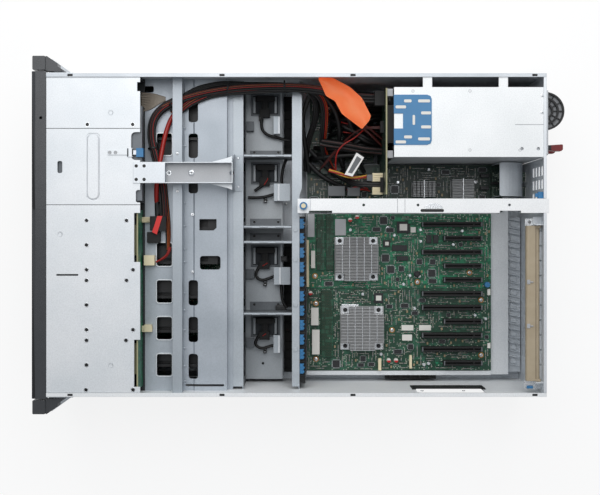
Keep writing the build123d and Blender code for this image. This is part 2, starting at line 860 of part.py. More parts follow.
def make_card_guide_strip():
    """Black strip with one upright groove for each long expansion card."""
    y0 = fan_rear_wall_y + sheet
    strip = block(guide_start_x, guide_end_x, y0, y0 + guide_depth, guide_low_z, guide_top_z)
    cuts = []
    for index in range(slot_count):
        centre = slot_x(index)
        back = y0 + guide_depth + 1
        cuts.append(block(centre - 1.1, centre + 1.1, back - 4, back, guide_low_z - 1, guide_top_z + 1))
        cuts.append(block(centre + 3.5, centre + 16.8, y0 - 1, back, guide_low_z + 8, guide_top_z - 8))
    strip -= cuts
    return strip


def make_card_clips():
    """Blue catches on top of the card guides."""
    clips = []
    y0 = fan_rear_wall_y + sheet
    for index in range(slot_count):
        centre = slot_x(index)
        outline = [
            (centre - 7, y0 + 0.5),
            (centre + 7, y0 + 0.5),
            (centre + 7, y0 + 5),
            (centre + 4, y0 + 7),
            (centre + 1.5, y0 + 5),
            (centre - 1.5, y0 + 7.5),
            (centre - 4, y0 + 5),
            (centre - 7, y0 + 6.5),
        ]
        clips.append(prism(outline, "z", guide_top_z, guide_top_z + clip_height))
    return group(clips)


def make_io_tray():
    """Raised tray on folded sides that carries the boards on round standoffs."""
    low = tray_top_z - sheet
    left, right = io_tray_left_x, io_tray_right_x
    section = [
        (left, sheet),
        (left, tray_top_z),
        (right, tray_top_z),
        (right, sheet),
        (right - sheet, sheet),
        (right - sheet, low),
        (left + sheet, low),
        (left + sheet, sheet),
    ]
    tray = prism(section, "y", io_board_front_y - 1, io_tray_back_y)
    stand_middle_y = (io_board_front_y + io_board_back_y) / 2
    for stand_x in (io_board_left_x + 6, io_board_split_x - 6, io_board_split_x + 7, io_board_right_x - 6):
        for stand_y in (io_board_front_y + 8, stand_middle_y, io_board_back_y - 8):
            tray += post(stand_x, stand_y, tray_top_z, board_under_z, standoff_radius)
    for stand_y in (io_board_front_y + 8, stand_middle_y, system_board_back_y - 8):
        tray += post(system_board_left_x + 7, stand_y, tray_top_z, board_under_z, standoff_radius)
        tray += post(system_board_right_x - 7, stand_y, tray_top_z, board_under_z, standoff_radius)
    ledge_x = io_board_right_x + seam
    tray += block(ledge_x, right, io_board_front_y - 1, io_board_back_y, tray_top_z, board_top_z)
    return tray


def make_io_boards():
    """Two green boards side by side that hold the expansion slots."""
    y0, y1 = io_board_front_y, io_board_back_y
    upper = block(io_board_left_x, io_board_split_x - seam / 2, y0, y1, board_under_z, board_top_z)
    lower = block(io_board_split_x + seam / 2, io_board_right_x, y0, y1, board_under_z, board_top_z)
    upper += block(io_board_left_x + 8, io_board_left_x + 14, 160, 172, board_top_z, board_top_z + 3)
    lower += block(io_board_right_x - 16, io_board_right_x - 6, 200, 211, board_top_z, board_top_z + 3)
    return group([upper, lower])


def make_expansion_slots():
    """Long and short sockets for the expansion cards, each with its key and contact groove."""
    sockets = []
    for index in range(slot_count):
        length = long_slot_length if index in long_slot_rows else short_slot_length
        centre = slot_x(index)
        half = slot_body_width / 2
        start = slot_back_y - length
        top = board_top_z + slot_body_height
        socket = block(centre - half, centre + half, start, slot_back_y, board_top_z, top)
        key_y = slot_back_y - 12.5
        socket -= block(centre - 0.9, centre + 0.9, start + 2, key_y - 1, top - 8, top + 1)
        socket -= block(centre - 0.9, centre + 0.9, key_y + 1, slot_back_y - 1.5, top - 8, top + 1)
        sockets.append(socket)
    return group(sockets)


def finned_sink(x0, y0, width, length, base_z, columns, rows):
    """Low base with fins in columns, cross-cut so that air passes either way."""
    sink = block(x0, x0 + width, y0, y0 + length, base_z, base_z + sink_base)
    column_pitch = length / columns
    row_pitch = width / rows
    fins = []
    for row in range(rows):
        for column in range(columns):
            fin_x = x0 + (row + 0.2) * row_pitch
            fin_y = y0 + column * column_pitch + 0.5
            in_corner_x = fin_x < x0 + sink_corner - 2 or fin_x > x0 + width - sink_corner
            in_corner = in_corner_x and column in (0, columns - 1) and columns == sink_columns
            if in_corner:
                continue
            fins.append(
                block(
                    fin_x,
                    fin_x + 0.6 * row_pitch,
                    fin_y,
                    fin_y + column_pitch - 1,
                    base_z + sink_base,
                    base_z + sink_height,
                )
            )
    return sink + fins


def make_board_heatsinks():
    """Two large sinks on the slot boards and two small ones beside the cross bar."""
    sinks = []
    for x0, y0 in (upper_sink, lower_sink):
        sink = finned_sink(x0, y0, sink_size, sink_size, board_top_z, sink_columns, sink_rows)
        inset = 5.5
        for hole_x in (x0 + inset, x0 + sink_size - inset):
            for hole_y in (y0 + inset + 2, y0 + sink_size - inset - 2):
                sink -= post(hole_x, hole_y, board_top_z - 1, board_top_z + sink_base + 1, sink_pin_hole)
        sinks.append(sink)
    for x0, y0, width, length in small_sinks:
        sinks.append(finned_sink(x0, y0, width, length, board_top_z, 1, 7))
    return group(sinks)


def make_system_board():
    """Board beside the power supplies, and the upright board that the drawer plugs into."""
    x0, x1 = system_board_left_x, system_board_right_x
    board = block(x0, x1, io_board_front_y, system_board_back_y, board_under_z, board_top_z)
    socket_x = x0 + 6
    socket_right = socket_x + board_socket_width
    socket_top = board_top_z + board_socket_height
    for socket_y in board_socket_ys:
        socket_end = socket_y + board_socket_length
        board += block(socket_x, socket_right, socket_y, socket_end, board_top_z, socket_top)
    port_start = system_board_back_y - port_depth
    port_end = rear_inner_y - running_gap
    port_top = board_top_z + port_height
    for port_x in port_xs:
        board += block(port_x, port_x + port_width, port_start, port_end, board_top_z, port_top)
    midplane_y = fan_wall_y + sheet
    midplane = block(-190, 190, midplane_y, midplane_y + board_thickness, sheet, fan_floor_top_z - sheet)
    plug_y = drawer_back_y - running_gap
    plug_low = cpu_board_z + drawer_plug_rise
    plug_top = plug_low + drawer_plug_height
    for plug_x in drawer_socket_xs:
        half = drawer_plug_width / 2
        midplane += block(plug_x - half, plug_x + half, plug_y, midplane_y, plug_low, plug_top)
    left, right = power_board_left_x, psu_cage_right_x - 2
    y0, y1 = power_board_y
    under = board_under_z - power_board_thickness
    power_board = block(left, right, y0, y1, under, board_under_z)
    for stand_x in (left + 6, right - 6):
        for stand_y in (y0 + 6, y1 - 6):
            power_board += post(stand_x, stand_y, sheet, under, standoff_radius)
    return group([board, midplane, power_board])


def psu_z(index):
    """Underside of a power supply, counted from the top one down."""
    return psu_first_z + (psu_count - 1 - index) * psu_pitch


def make_psu_cage():
    """Upturned channel with a pair of ledges under each power supply and two straps to the rim."""
    left, right = psu_cage_left_x, psu_cage_right_x
    top = psu_cage_top_z + sheet
    section = [
        (left, sheet),
        (left, top),
        (right, top),
        (right, sheet),
        (right - sheet, sheet),
        (right - sheet, top - sheet),
        (left + sheet, top - sheet),
        (left + sheet, sheet),
    ]
    cage = prism(section, "y", psu_cage_front_y, rear_inner_y)
    for index in range(psu_count):
        ledge_top = psu_z(index) - running_gap
        low = ledge_top - ledge_thickness
        for ledge_x in (left + sheet, right - sheet - psu_ledge_width):
            ledge_end = ledge_x + psu_ledge_width
            cage += block(ledge_x, ledge_end, psu_cage_front_y, rear_inner_y, low, ledge_top)
    for strap_y in psu_strap_ys:
        cage += block(-wall_x, left, strap_y, strap_y + psu_strap_width, top - sheet, top)
    arm_start = psu_backplane_y + board_thickness
    for arm_x in (left, right - psu_arm_width):
        for arm_z in (14, psu_backplane_top_z - 17):
            arm_end = arm_x + psu_arm_width
            cage += block(arm_x, arm_end, arm_start, psu_cage_front_y, arm_z, arm_z + psu_arm_width)
    cage -= [post(right - 11, hole_y, top - 3, top + 1, 2.2) for hole_y in (300, 322)]
    return cage


def make_psu_backplane():
    """Upright board at the inner end of the power supplies, with a socket for each."""
    y0 = psu_backplane_y
    y1 = y0 + board_thickness
    left = psu_cage_left_x
    inner = psu_cage_right_x - 1
    outline = [
        (left, psu_backplane_low_z),
        (inner, psu_backplane_low_z),
        (inner, psu_backplane_step_z),
        (psu_backplane_right_x, psu_backplane_step_z),
        (psu_backplane_right_x, psu_backplane_top_z),
        (left, psu_backplane_top_z),
    ]
    board = prism(outline, "y", y0, y1)
    plug_left = psu_left_x + (psu_width - psu_plug_width) / 2
    plug_right = plug_left + psu_plug_width
    plug_end = psu_inner_y - running_gap
    for index in range(psu_count):
        low = psu_z(index) + psu_plug_rise
        board += block(plug_left, plug_right, y1, plug_end, low, low + psu_plug_height)
    return board


def make_psu(index):
    """Power supply with a ribbed half-round handle, a socket for its cord and ears for the latch."""
    left = psu_left_x
    right = psu_left_x + psu_width
    low = psu_z(index)
    high = low + psu_height
    middle_z = (low + high) / 2
    body = block(left, right, psu_inner_y, psu_face_y, low, high)
    inlet_x = right - psu_inlet_inset
    inlet_front = psu_face_y - psu_inlet_depth
    inlet_low = middle_z - psu_inlet_height / 2
    inlet_top = inlet_low + psu_inlet_height
    body -= block(inlet_x, inlet_x + psu_inlet_width, inlet_front, psu_face_y + 1, inlet_low, inlet_top)
    handle_x = left + psu_handle_radius
    handle_low = middle_z - psu_handle_thickness / 2
    web_low = middle_z - 1
    outer = psu_handle_radius
    handle = post(handle_x, psu_face_y, web_low, web_low + 2, outer - 1)
    handle_top = handle_low + psu_handle_thickness
    for ring_index in range(3):
        radius = outer - ring_index * psu_ring_pitch
        ring = post(handle_x, psu_face_y, handle_low, handle_top, radius)
        handle += ring - post(handle_x, psu_face_y, handle_low - 1, handle_top + 1, radius - psu_ring_width)
    for turn in range(1, 6):
        rib = block(outer - 17, outer - 1, -0.8, 0.8, handle_low + 1.5, handle_top - 1.5)
        handle += Pos(handle_x, psu_face_y, 0) * Rot(0, 0, turn * 30) * rib
    keep = block(left - 5, right, psu_face_y, psu_face_y + outer + 5, low, high)
    body += handle & keep
    pin_x = right - 10
    pin_y = psu_face_y + 4
    for ear_z in (middle_z - 8, middle_z + 6.4):
        body += block(pin_x - 3, pin_x + 3, psu_face_y, pin_y + 3, ear_z, ear_z + 1.6)
    body += post(pin_x, pin_y, middle_z - 7, middle_z + 7, psu_latch_pin_radius)
    return body


def make_psu_latch(index):
    """Red catch that is pressed sideways to free a power supply."""
    right = psu_left_x + psu_width
    middle_z = psu_z(index) + psu_height / 2
    pin_x = right - 10
    pin_y = psu_face_y + 4
    low, high = middle_z - 6.1, middle_z + 6.1
    arm = [
        (pin_x - 3.2, pin_y),
        (pin_x + 3.2, pin_y),
        (pin_x + 4.5, pin_y + 8),
        (pin_x + 4.5, pin_y + psu_latch_length - 2),
        (pin_x + 2.5, pin_y + psu_latch_length),
        (pin_x - 3.5, pin_y + psu_latch_length),
        (pin_x - 4.5, pin_y + psu_latch_length - 1),
    ]
    latch = prism(arm, "z", low, high) + post(pin_x, pin_y, low, high, 3.2)
    latch -= post(pin_x, pin_y, low - 1, high + 1, psu_latch_pin_radius + pin_clearance)
    return latch


def make_cross_bar():
    """Removable channel with a dropped tab for its screw at the front and a grip dome near its middle."""
    left, right = bar_left_x, bar_right_x
    top = bar_top_z
    tab_end = bar_front_y + bar_tab_length
    section = [
        (left, top - bar_depth),
        (left, top),
        (right, top),
        (right, top - bar_depth),
        (right - sheet, top - bar_depth),
        (right - sheet, top - sheet),
        (left + sheet, top - sheet),
        (left + sheet, top - bar_depth),
    ]
    bar = prism(section, "y", tab_end, bar_rear_end)
    tab_top = bar_tab_top_z
    bar += block(left, right, bar_front_y, tab_end, tab_top - sheet, tab_top)
    bar += block(left, right, tab_end - sheet, tab_end, tab_top - sheet, top)
    bar += block(left, right, bar_rear_end, bar_back_y, top - sheet, top)
    middle = bar_middle_x
    cuts = [post(middle, bar_screw_y, tab_top - 3, tab_top + 1, bar_screw_radius + pin_clearance)]
    for hole_y in (87.0, 160.0, 283.0):
        cuts.append(post(middle - 1, hole_y, top - 3, top + 1, 1.8))
    for y0, y1 in ((13.5, 44.5), (270.0, 298.5)):
        cuts.append(block(right - 3, right + 1, y0, y1, top - bar_depth - 1, top + 1))
    bar -= cuts
    return bar


def make_cross_bar_screw():
    """Captive thumbscrew that holds the cross bar to the fan cage."""
    middle = bar_middle_x
    tab_top = bar_tab_top_z
    head_low = tab_top + running_gap
    screw = post(middle, bar_screw_y, head_low, bar_top_z, bar_screw_head_radius)
    screw += post(middle, bar_screw_y, tab_top - 10, head_low, bar_screw_radius)
    screw -= Pos(middle, bar_screw_y, bar_top_z) * Box(8, 1, 3)
    return screw


def make_cross_bar_latch():
    """Blue catch that slides back to free the rear end of the cross bar."""
    x1 = bar_left_x - running_gap
    x0 = x1 - 9
    y1 = rear_inner_y - running_gap
    low = bar_top_z - 10.3
    latch = block(x0, x1, y1 - 8.5, y1, low, low + 6)
    latch += block(x0 + 2, x1 - 2, y1 - 12, y1 - 8.5, low + 1, low + 4)
    return latch


def make_card_retainer():
    """Tan bar that swings down over the tabs of the expansion cards."""
    left, right = retainer_left_x, retainer_right_x
    front = retainer_pin_y - retainer_depth
    low = bracket_top_z + running_gap + 0.2
    back = retainer_pin_y + 1.7
    top = retainer_pin_z - 1
    bar = block(left, right, front, back, low, top)
    long_edges = bar.edges().filter_by(Axis.X).group_by(Axis.Z)[-1]
    bar = fillet(long_edges, 4)
    bar -= block(left - 1, right + 1, front + 1.5, back - 1.5, low - 1, top - 1.5)
    for rib in range(slot_count + 1):
        rib_x = left + 1 + rib * (right - left - 4) / slot_count
        bar += block(rib_x, rib_x + 2, front + 1, back - 1, low, top - 1)
    for end_x in (left, right - 3):
        bar += block(end_x, end_x + 3, retainer_pin_y - 4, retainer_pin_y + 1.7, low, retainer_pin_z + 1)
        bar += rod_x(end_x, end_x + 3, retainer_pin_y, retainer_pin_z, 2.6)
    bar += rod_x(left - 2, left, retainer_pin_y, retainer_pin_z, retainer_pin_radius)
    bar += rod_x(right, right + 2, retainer_pin_y, retainer_pin_z, retainer_pin_radius)
    return bar


def make_front_bezel():
    """Dark front strip: a hollow frame with openings for the drives, the optical tray and the button."""
    y0 = bezel_front_y
    y1 = front_y - bezel_gap_y
    low, high = bezel_low_z, bezel_top_z
    half = bezel_half_width
    outline = [
        (y1, low),
        (y1, high),
        (y0 + 2, high),
        (y0 - bezel_lip, high - 2),
        (y0 - bezel_lip, high - 5),
        (y0, high - 7),
        (y0, low + 3),
        (y0 + 2, low),
    ]
    bezel = prism(outline, "x", -half, half)
    wall = bezel_wall
    bezel -= block(-half + wall, half - wall, y0 + 3, y1 + 1, cage_inner_z, high - wall)
    cuts = []
    rows = []
    for row in range(2):
        z0 = row_z(row) - running_gap - 0.1
        z1 = row_z(row) + drive_height + running_gap
        rows += [z0, z1]
        for column in range(drive_columns):
            middle = column_x(column) + sheet / 2 + drive_column_pitch / 2
            reach = drive_width / 2 + running_gap
            cuts.append(block(middle - reach, middle + reach, y0 - 5, y0 + 5, z0, z1))
    middle = optical_middle_x
    reach = optical_width / 2 + running_gap
    z0 = optical_floor_z - running_gap
    z1 = optical_floor_z + optical_height + running_gap
    cuts.append(block(middle - reach, middle + reach, y0 - 5, y0 + 5, z0, z1))
    for vent in range(12):
        vent_x = middle - reach + 4 + vent * 10.4
        cuts.append(block(vent_x, vent_x + 5.5, y0 - 1, y0 + 5, low + 5, low + 23))
    cuts.append(rod_y(button_x, y0 - 5, y0 + 5, button_z, button_radius + running_gap))
    cuts.append(block(button_x - 12, button_x + 2, y0 - 1, y0 + 5, low + 6, low + 12))
    cuts.append(post(-157.7, -347.5, high - wall - 1, high + 1, 2.0))
    bezel -= cuts
    left_length, right_length = lengths(bezel, "x", [drive_column_x])
    return group([left_length] + lengths(right_length, "z", rows))


def make_power_button():
    """Round button with a stem that runs in the bezel."""
    y0 = bezel_front_y - 0.5
    button = rod_y(button_x, y0, y0 + 5.5, button_z, button_radius)
    button += rod_y(button_x, y0 + 5.5, front_y - bezel_gap_y - 1.5, button_z, 2.5)
    return button


def make_rack_ears():
    """Flanges at the front corners with slotted holes and a return along the case."""
    ears = []
    for side in (-1, 1):
        inner = half_width
        outer = ear_reach
        y0 = front_y - bezel_gap_y
        y1 = y0 + ear_thickness
        x0, x1 = sorted((side * inner, side * outer))
        ear = block(x0, x1, y0, y1, ear_low_z, ear_notch_z)
        return_x0, return_x1 = sorted((side * half_width, side * (half_width + sheet)))
        ear += block(return_x0, return_x1, y0, y0 + ear_return, ear_low_z, ear_lever_top_z)
        slot_centre = side * ear_slot_spacing_x / 2
        for level in (-1, 1):
            z = chassis_height / 2 + level * ear_slot_spacing_z / 2
            slot = Pos(slot_centre, y0 + 1, z) * Rot(90, 0, 0) * extrude(
                SlotOverall(ear_slot_length, ear_slot_width), amount=4, both=True
            )
            ear -= slot
        pin_x0, pin_x1 = sorted((side * (half_width + sheet), side * (ear_reach - 4)))
        ear += rod_x(pin_x0, pin_x1, ear_pin_y, ear_pin_z, ear_pin_radius)
        ears.append(ear)
    return group(ears)


def make_ear_lever(side):
    """Quick-release lever at a rack ear: a cap at the front and a hook behind the flange."""
    near = bezel_half_width + running_gap
    far = ear_reach
    y0 = bezel_front_y - 2
    y1 = front_y - 1.8
    low, high = ear_lever_low_z, ear_lever_top_z
    cap = rounded_block(near + 1.7, far, y0, y1, low, high, 1.5)
    hook = [
        (near, front_y + 0.5),
        (near + 1.7, front_y + 0.5),
        (near + 1.7, y1),
        (far, y1),
        (far, front_y),
        (far - 9.8, -325.5),
        (far - 13.8, -325.5),
        (near + 1.5, -317.5),
        (near, -320),
    ]
    lever = cap + prism(hook, "z", low, high - 2)
    lever -= rod_x(near - 1, far + 1, ear_pin_y, ear_pin_z, ear_pin_radius + pin_clearance)
    if side < 0:
        lever = mirror(lever, about=Plane.YZ)
    return lever


def make_optical_drive():
    """Thin open-fronted case of the optical drive."""
    middle = optical_middle_x
    half = optical_width / 2
    y0 = front_y + 2
    y1 = y0 + optical_depth
    z0 = optical_floor_z
    z1 = z0 + optical_height
    wall = optical_wall
    case = block(middle - half, middle + half, y0, y1, z0, z1)
    case -= block(middle - half + wall, middle + half - wall, y0 - 1, y1 - wall, z0 + wall, z1 - wall)
    return case


def make_optical_tray():
    """Sliding tray with a round disc recess, a spindle and its front plate."""
    middle = optical_middle_x
    half = optical_width / 2 - optical_wall - running_gap
    y0 = front_y + 2
    z0 = optical_floor_z + optical_wall + running_gap
    z1 = z0 + tray_thickness
    end = y0 + optical_depth - optical_wall - 1
    plate = block(middle - half, middle + half, y0, end, z0, z1)
    disc_y = (y0 + end) / 2
    plate -= post(middle, disc_y, z1 - disc_recess_depth, z1 + 1, disc_recess_radius)
    plate += post(middle, disc_y, z1 - disc_recess_depth, z1 + 0.8, 7)
    face_half = optical_width / 2
    face_top = optical_floor_z + optical_height
    face_y = bezel_front_y - 1
    face_back = bezel_front_y + 2.5
    plate += block(middle - face_half, middle + face_half, face_y, face_back, optical_floor_z, face_top)
    plate += block(middle - half, middle + half, face_back, y0, z0, z1)
    plate -= block(middle + 40, middle + 48, face_y - 1, bezel_front_y, z0 + 2, z0 + 4)
    return plate


def make_optical_latch():
    """Leaf spring with a blue tab that drops behind the optical drive."""
    low = cover_top_z + running_gap
    high = low + 0.8
    centre = optical_middle_x - 0.8
    leaf = block(centre - 3.2, centre + 3.2, -257, -231, low, high)
    leaf += block(centre - 6, centre + 6, -231, -223, low, high)
    leaf += block(centre - 3, centre + 3, -223, -219, low, high)
    tab = block(centre - 6, centre + 6, -219, -209.5, high - 4, high)
    lip_front = front_y + 2 + optical_depth + 0.5
    tab += block(centre - 6, centre + 6, lip_front, -209.5, optical_floor_z + 8, high - 4)
    leaf -= [post(centre, rivet_y, low - 1, high + 1, 1.2) for rivet_y in (-254.3, -246.6)]
    return leaf + tab


def make_hot_drive(column, row):
    """Hot-plug drive in its carrier, with a slot in its face for the lever."""
    middle = column_x(column) + sheet / 2 + drive_column_pitch / 2
    z0 = row_z(row)
    z1 = z0 + drive_height
    back = backplane_front_y - backplane_socket_depth - running_gap
    half = drive_width / 2
    drive = block(middle - half, middle + half, drive_front_y, back, z0, z1)
    drive += block(middle - half, middle - half + 8, bezel_front_y, drive_front_y, z0, z1)
    drive += block(middle + half - 14, middle + half, bezel_front_y, drive_front_y, z0, z1)
    pin_x = middle - half + 12
    for lug_z in (z0, z1 - 2):
        drive += block(pin_x - 4, pin_x + 3, drive_front_y - 5, drive_front_y, lug_z, lug_z + 2)
    drive += post(pin_x, drive_front_y - 3, z0 + 2, z1 - 2, 1.2)
    return drive


def make_drive_lever(column, row):
    """Ejector lever across the face of a drive carrier."""
    middle = column_x(column) + sheet / 2 + drive_column_pitch / 2
    z0 = row_z(row) + 2.3
    z1 = row_z(row) + drive_height - 2.3
    pin_x = middle - drive_width / 2 + 12
    pin_y = drive_front_y - 3
    tip_x = middle + drive_width / 2 - 15
    lever = block(pin_x, tip_x, bezel_front_y, drive_front_y - 1.5, z0, z1)
    lever += post(pin_x, pin_y, z0, z1, 2.4)
    lever -= block(pin_x + 10, tip_x - 10, bezel_front_y - 1, drive_front_y, z0 + 3.5, z1 - 3.5)
    lever -= post(pin_x, pin_y, z0 - 1, z1 + 1, 1.2 + pin_clearance)
    return lever


def make_drive_blanks():
    """Filler carriers in the drive openings that hold no drive."""
    blanks = []
    back = backplane_front_y - 60
    half = drive_width / 2
    for column, row in ((0, 1), (1, 1), (2, 0), (2, 1)):
        middle = column_x(column) + sheet / 2 + drive_column_pitch / 2
        z0 = row_z(row)
        z1 = z0 + drive_height
        shell = block(middle - half, middle + half, bezel_front_y, back, z0 - running_gap, z1)
        shell -= block(middle - half + 2, middle + half - 2, bezel_front_y + 3, back + 1, z0 + 1.2, z1 - 1.5)
        for vent in range(5):
            vent_x = middle - 29 + vent * 12
            shell -= block(vent_x, vent_x + 8, bezel_front_y - 1, bezel_front_y + 4, z0 + 5, z1 - 5)
        blanks.append(shell)
    return group(blanks)


def make_drawer_tray():
    """Open tray of the processor drawer with standoffs for its board."""
    half = drawer_half_width
    z0 = drawer_floor_z
    top = z0 + drawer_wall_height
    section = [
        (-half, z0),
        (half, z0),
        (half, top),
        (half - sheet, top),
        (half - sheet, z0 + sheet),
        (-half + sheet, z0 + sheet),
        (-half + sheet, top),
        (-half, top),
    ]
    tray = prism(section, "y", front_y - bezel_gap_y, drawer_back_y)
    for stand_x in (-185, -62, 62, 185):
        for stand_y in (-322, -220, -122):
            tray += post(stand_x, stand_y, z0 + sheet, cpu_board_z, 3)
    return tray


def make_drawer_front():
    """Vented face of the drawer, set back along its foot for the ejector levers."""
    half = drawer_face_half_width
    y0 = bezel_front_y
    y1 = front_y - bezel_gap_y
    low, high = drawer_floor_z, drawer_face_top_z
    outline = [
        (y1, low),
        (y1, high),
        (y0 + 2, high),
        (y0, high - 2),
        (y0, drawer_step_z),
        (drawer_step_y, drawer_step_z),
        (drawer_step_y, low + 2),
        (y0 + 1, low + 2),
        (y0 + 1, low),
    ]
    face = prism(outline, "x", -half, half)
    face -= block(-half + 2.5, half - 2.5, y0 + 3, y1 + 1, drawer_step_z + 2.5, high - 2.5)
    cuts = []
    first = -(drawer_vent_columns - 1) * drawer_vent_pitch / 2
    for column in range(drawer_vent_columns):
        vent_x = first + column * drawer_vent_pitch - drawer_vent_width / 2
        for z0, z1 in ((33, 72), (77, drawer_face_top_z - 6)):
            cuts.append(block(vent_x, vent_x + drawer_vent_width, y0 - 1, y0 + 4, z0, z1))
    face -= cuts
    for side in (-1, 1):
        pin_x = side * (half - drawer_pin_inset)
        face += post(pin_x, drawer_pin_y, low + 2, drawer_step_z, drawer_pin_radius)
    return face


def make_drawer_lever(side):
    """Ejector lever at the foot of the drawer face."""
    pin_x = drawer_face_half_width - drawer_pin_inset
    z0 = drawer_floor_z + 2 + 3
    z1 = z0 + drawer_lever_height
    tip = pin_x - drawer_lever_length
    front = bezel_front_y + 0.5
    back = drawer_step_y - running_gap
    arm = [
        (pin_x, back - 1),
        (pin_x, front + 2),
        (tip + 4, front),
        (tip, front + 2),
        (tip, back - 2),
        (tip + 6, back - 2),
        (tip + 12, back - 5),
        (pin_x - 12, back - 5),
    ]
    lever = prism(arm, "z", z0, z1) + post(pin_x, drawer_pin_y, z0, z1, 4.4)
    lever -= post(pin_x, drawer_pin_y, z0 - 1, z1 + 1, drawer_pin_radius + pin_clearance)
    if side < 0:
        lever = mirror(lever, about=Plane.YZ)
    return lever


def make_processor_board():
    """Board in the drawer, with the edge sockets that meet the upright board behind it."""
    top = cpu_board_z + io_board_thickness
    board = block(-198, 198, -332, -110, cpu_board_z, top)
    for socket_x in drawer_socket_xs:
        board += block(socket_x - 30, socket_x + 30, -110 - 4, drawer_back_y - 2 * running_gap, top, top + 16)
    return board


def make_processor_heatsinks():
    """Tall finned sinks in a row behind the drawer face."""
    base_z = cpu_board_z + io_board_thickness
    sinks = []
    for index in range(cpu_sink_count):
        middle = (index - (cpu_sink_count - 1) / 2) * cpu_sink_pitch
        left = middle - cpu_sink_width / 2
        y0 = cpu_sink_front_y
        y1 = y0 + cpu_sink_depth
        sink = block(left, left + cpu_sink_width, y0, y1, base_z, base_z + 8)
        pitch = (cpu_sink_width - 2) / (cpu_sink_fins - 1)
        fins = []
        for fin in range(cpu_sink_fins):
            fin_x = left + fin * pitch
            fins.append(block(fin_x, fin_x + 2, y0, y1, base_z + 8, base_z + cpu_sink_height))
        sinks.append(sink + fins)
    return group(sinks)


def make_memory_cartridges():
    """Tall memory carriers that stand in the drawer, each with a finger slot at its top."""
    base_z = cpu_board_z + io_board_thickness
    cartridges = []
    for index in range(cartridge_count):
        middle = (index - (cartridge_count - 1) / 2) * cartridge_pitch
        left = middle - cartridge_width / 2
        right = middle + cartridge_width / 2
        y0, y1 = cartridge_front_y, cartridge_back_y
        top = cartridge_top_z
        shell = block(left, right, y0, y1, base_z, top)
        shell -= block(left + 4, right - 4, y0 + 14, y1 - 14, top - 9, top + 1)
        shell += block(left + 8, right - 8, y0 + 40, y1 - 40, top - 10, top - 2)
        cartridges.append(shell)
    return group(cartridges)


def corner_radii(points):
    """Largest arc that each corner of a route has room for."""
    radii = []
    for before, corner, after in zip(points, points[1:], points[2:]):
        first = Vector(*corner) - Vector(*before)
        second = Vector(*after) - Vector(*corner)
        turn = math.radians(first.get_angle(second))
        radii.append(0.45 * min(first.length, second.length) / math.tan(turn / 2))
    return radii


def tube(points, radius):
    """Cable of straight runs joined by tangent arcs."""
    radii = corner_radii(points)
    print("cable radii", [round(value, 1) for value in radii])
    route = FilletPolyline(*points, radius=radii)
    profile = Plane(origin=route @ 0, z_dir=route % 0) * Circle(radius)
    cable = sweep(profile, path=route)
    expected = math.pi * radius * radius * route.length
    print("cable volume over section times length", round(cable.volume / expected, 4))
    return cable


# Route of the thick black bundle, from the power backplane along the wall and across the shelf
main_bundle_route = (
    (-188.0, 104.0, bundle_z),
    (-188.0, 84.0, bundle_z),
    (-198.0, 52.0, bundle_z),
    (-206.5, 8.0, bundle_z),
    (-207.5, -38.0, bundle_z),
    (-206.0, -84.0, bundle_z),
    (-198.0, -128.0, bundle_z),
    (-188.0, -166.0, bundle_z),
    (-176.0, -190.0, bundle_z),
    (-158.0, -203.0, bundle_z),
    (-134.0, -204.5, bundle_z),
    (-106.0, -198.0, bundle_z),
    (-78.0, -194.5, bundle_z),
    (-50.0, -195.5, bundle_z),
    (-26.0, -195.5, bundle_z),
)

# Route of the red sleeve across the shelf
red_sleeve_route = (
    (-177.0, -157.0, sleeve_z),
    (-168.0, -171.0, sleeve_z),
    (-152.0, -179.0, sleeve_z),
    (-128.0, -183.0, sleeve_z),
    (-104.0, -184.5, sleeve_z),
    (-78.0, -182.5, sleeve_z),
    (-50.0, -184.6, sleeve_z),
    (-26.0, -184.6, sleeve_z),
)


def make_black_harness():
    """Thick bundle along the wall, the bundle to the system board and the four fan leads."""
    cables = [tube(main_bundle_route, main_bundle_radius)]
    socket_x = system_board_left_x + 10
    board_route = (
        (-70.0, 113.0, 118.0),
        (-70.0, 94.0, 118.0),
        (-72.0, 76.0, 107.0),
        (-81.0, 66.0, 92.0),
        (socket_x + 2, 64.0, 78.0),
        (socket_x, 64.0, 64.0),
        (socket_x, 64.0, board_top_z + board_socket_height),
    )
    cables.append(tube(board_route, 4.0))
    for seat_x in fan_socket_xs:
        z = fan_floor_top_z + 8
        lead = (
            (seat_x + 35.0, -50.5, z),
            (seat_x + 43.0, -50.5, z),
            (seat_x + 52.0, -47.0, z - 1.5),
            (seat_x + 57.0, -38.0, z - 3.0),
            (seat_x + 58.0, -26.0, z - 4.0),
            (seat_x + 58.5, -13.0, z - 4.0),
            (seat_x + 58.5, fan_rear_wall_y, z - 4.0),
        )
        cables.append(tube(lead, fan_lead_radius))
    return group(cables)


def make_red_leads():
    """Red sleeve over the shelf and the red lead at the power backplane."""
    socket_x = system_board_left_x + 10
    backplane_lead = (
        (-150.0, 113.0, 120.0),
        (-150.0, 97.0, 120.0),
        (-147.0, 82.0, 111.0),
        (-137.0, 69.0, 99.0),
        (-123.0, 55.0, 87.0),
        (-108.0, 42.0, 80.0),
        (socket_x - 2.5, 32.0, 73.0),
        (socket_x, 30.0, 63.0),
        (socket_x, 30.0, board_top_z + board_socket_height),
    )
    return group([tube(red_sleeve_route, red_sleeve_radius), tube(backplane_lead, 3.0)])


def make_ribbon_cable():
    """Flat beige cable from under the left cover down through the shelf."""
    outline = [
        (-197.0, -213.0),
        (-172.0, -213.0),
        (-176.0, -203.0),
        (-187.0, -196.0),
        (-190.0, -190.0),
        (-194.0, -190.0),
        (-195.0, -200.0),
    ]
    return prism(outline, "z", deck_top_z, deck_top_z + 1.2)


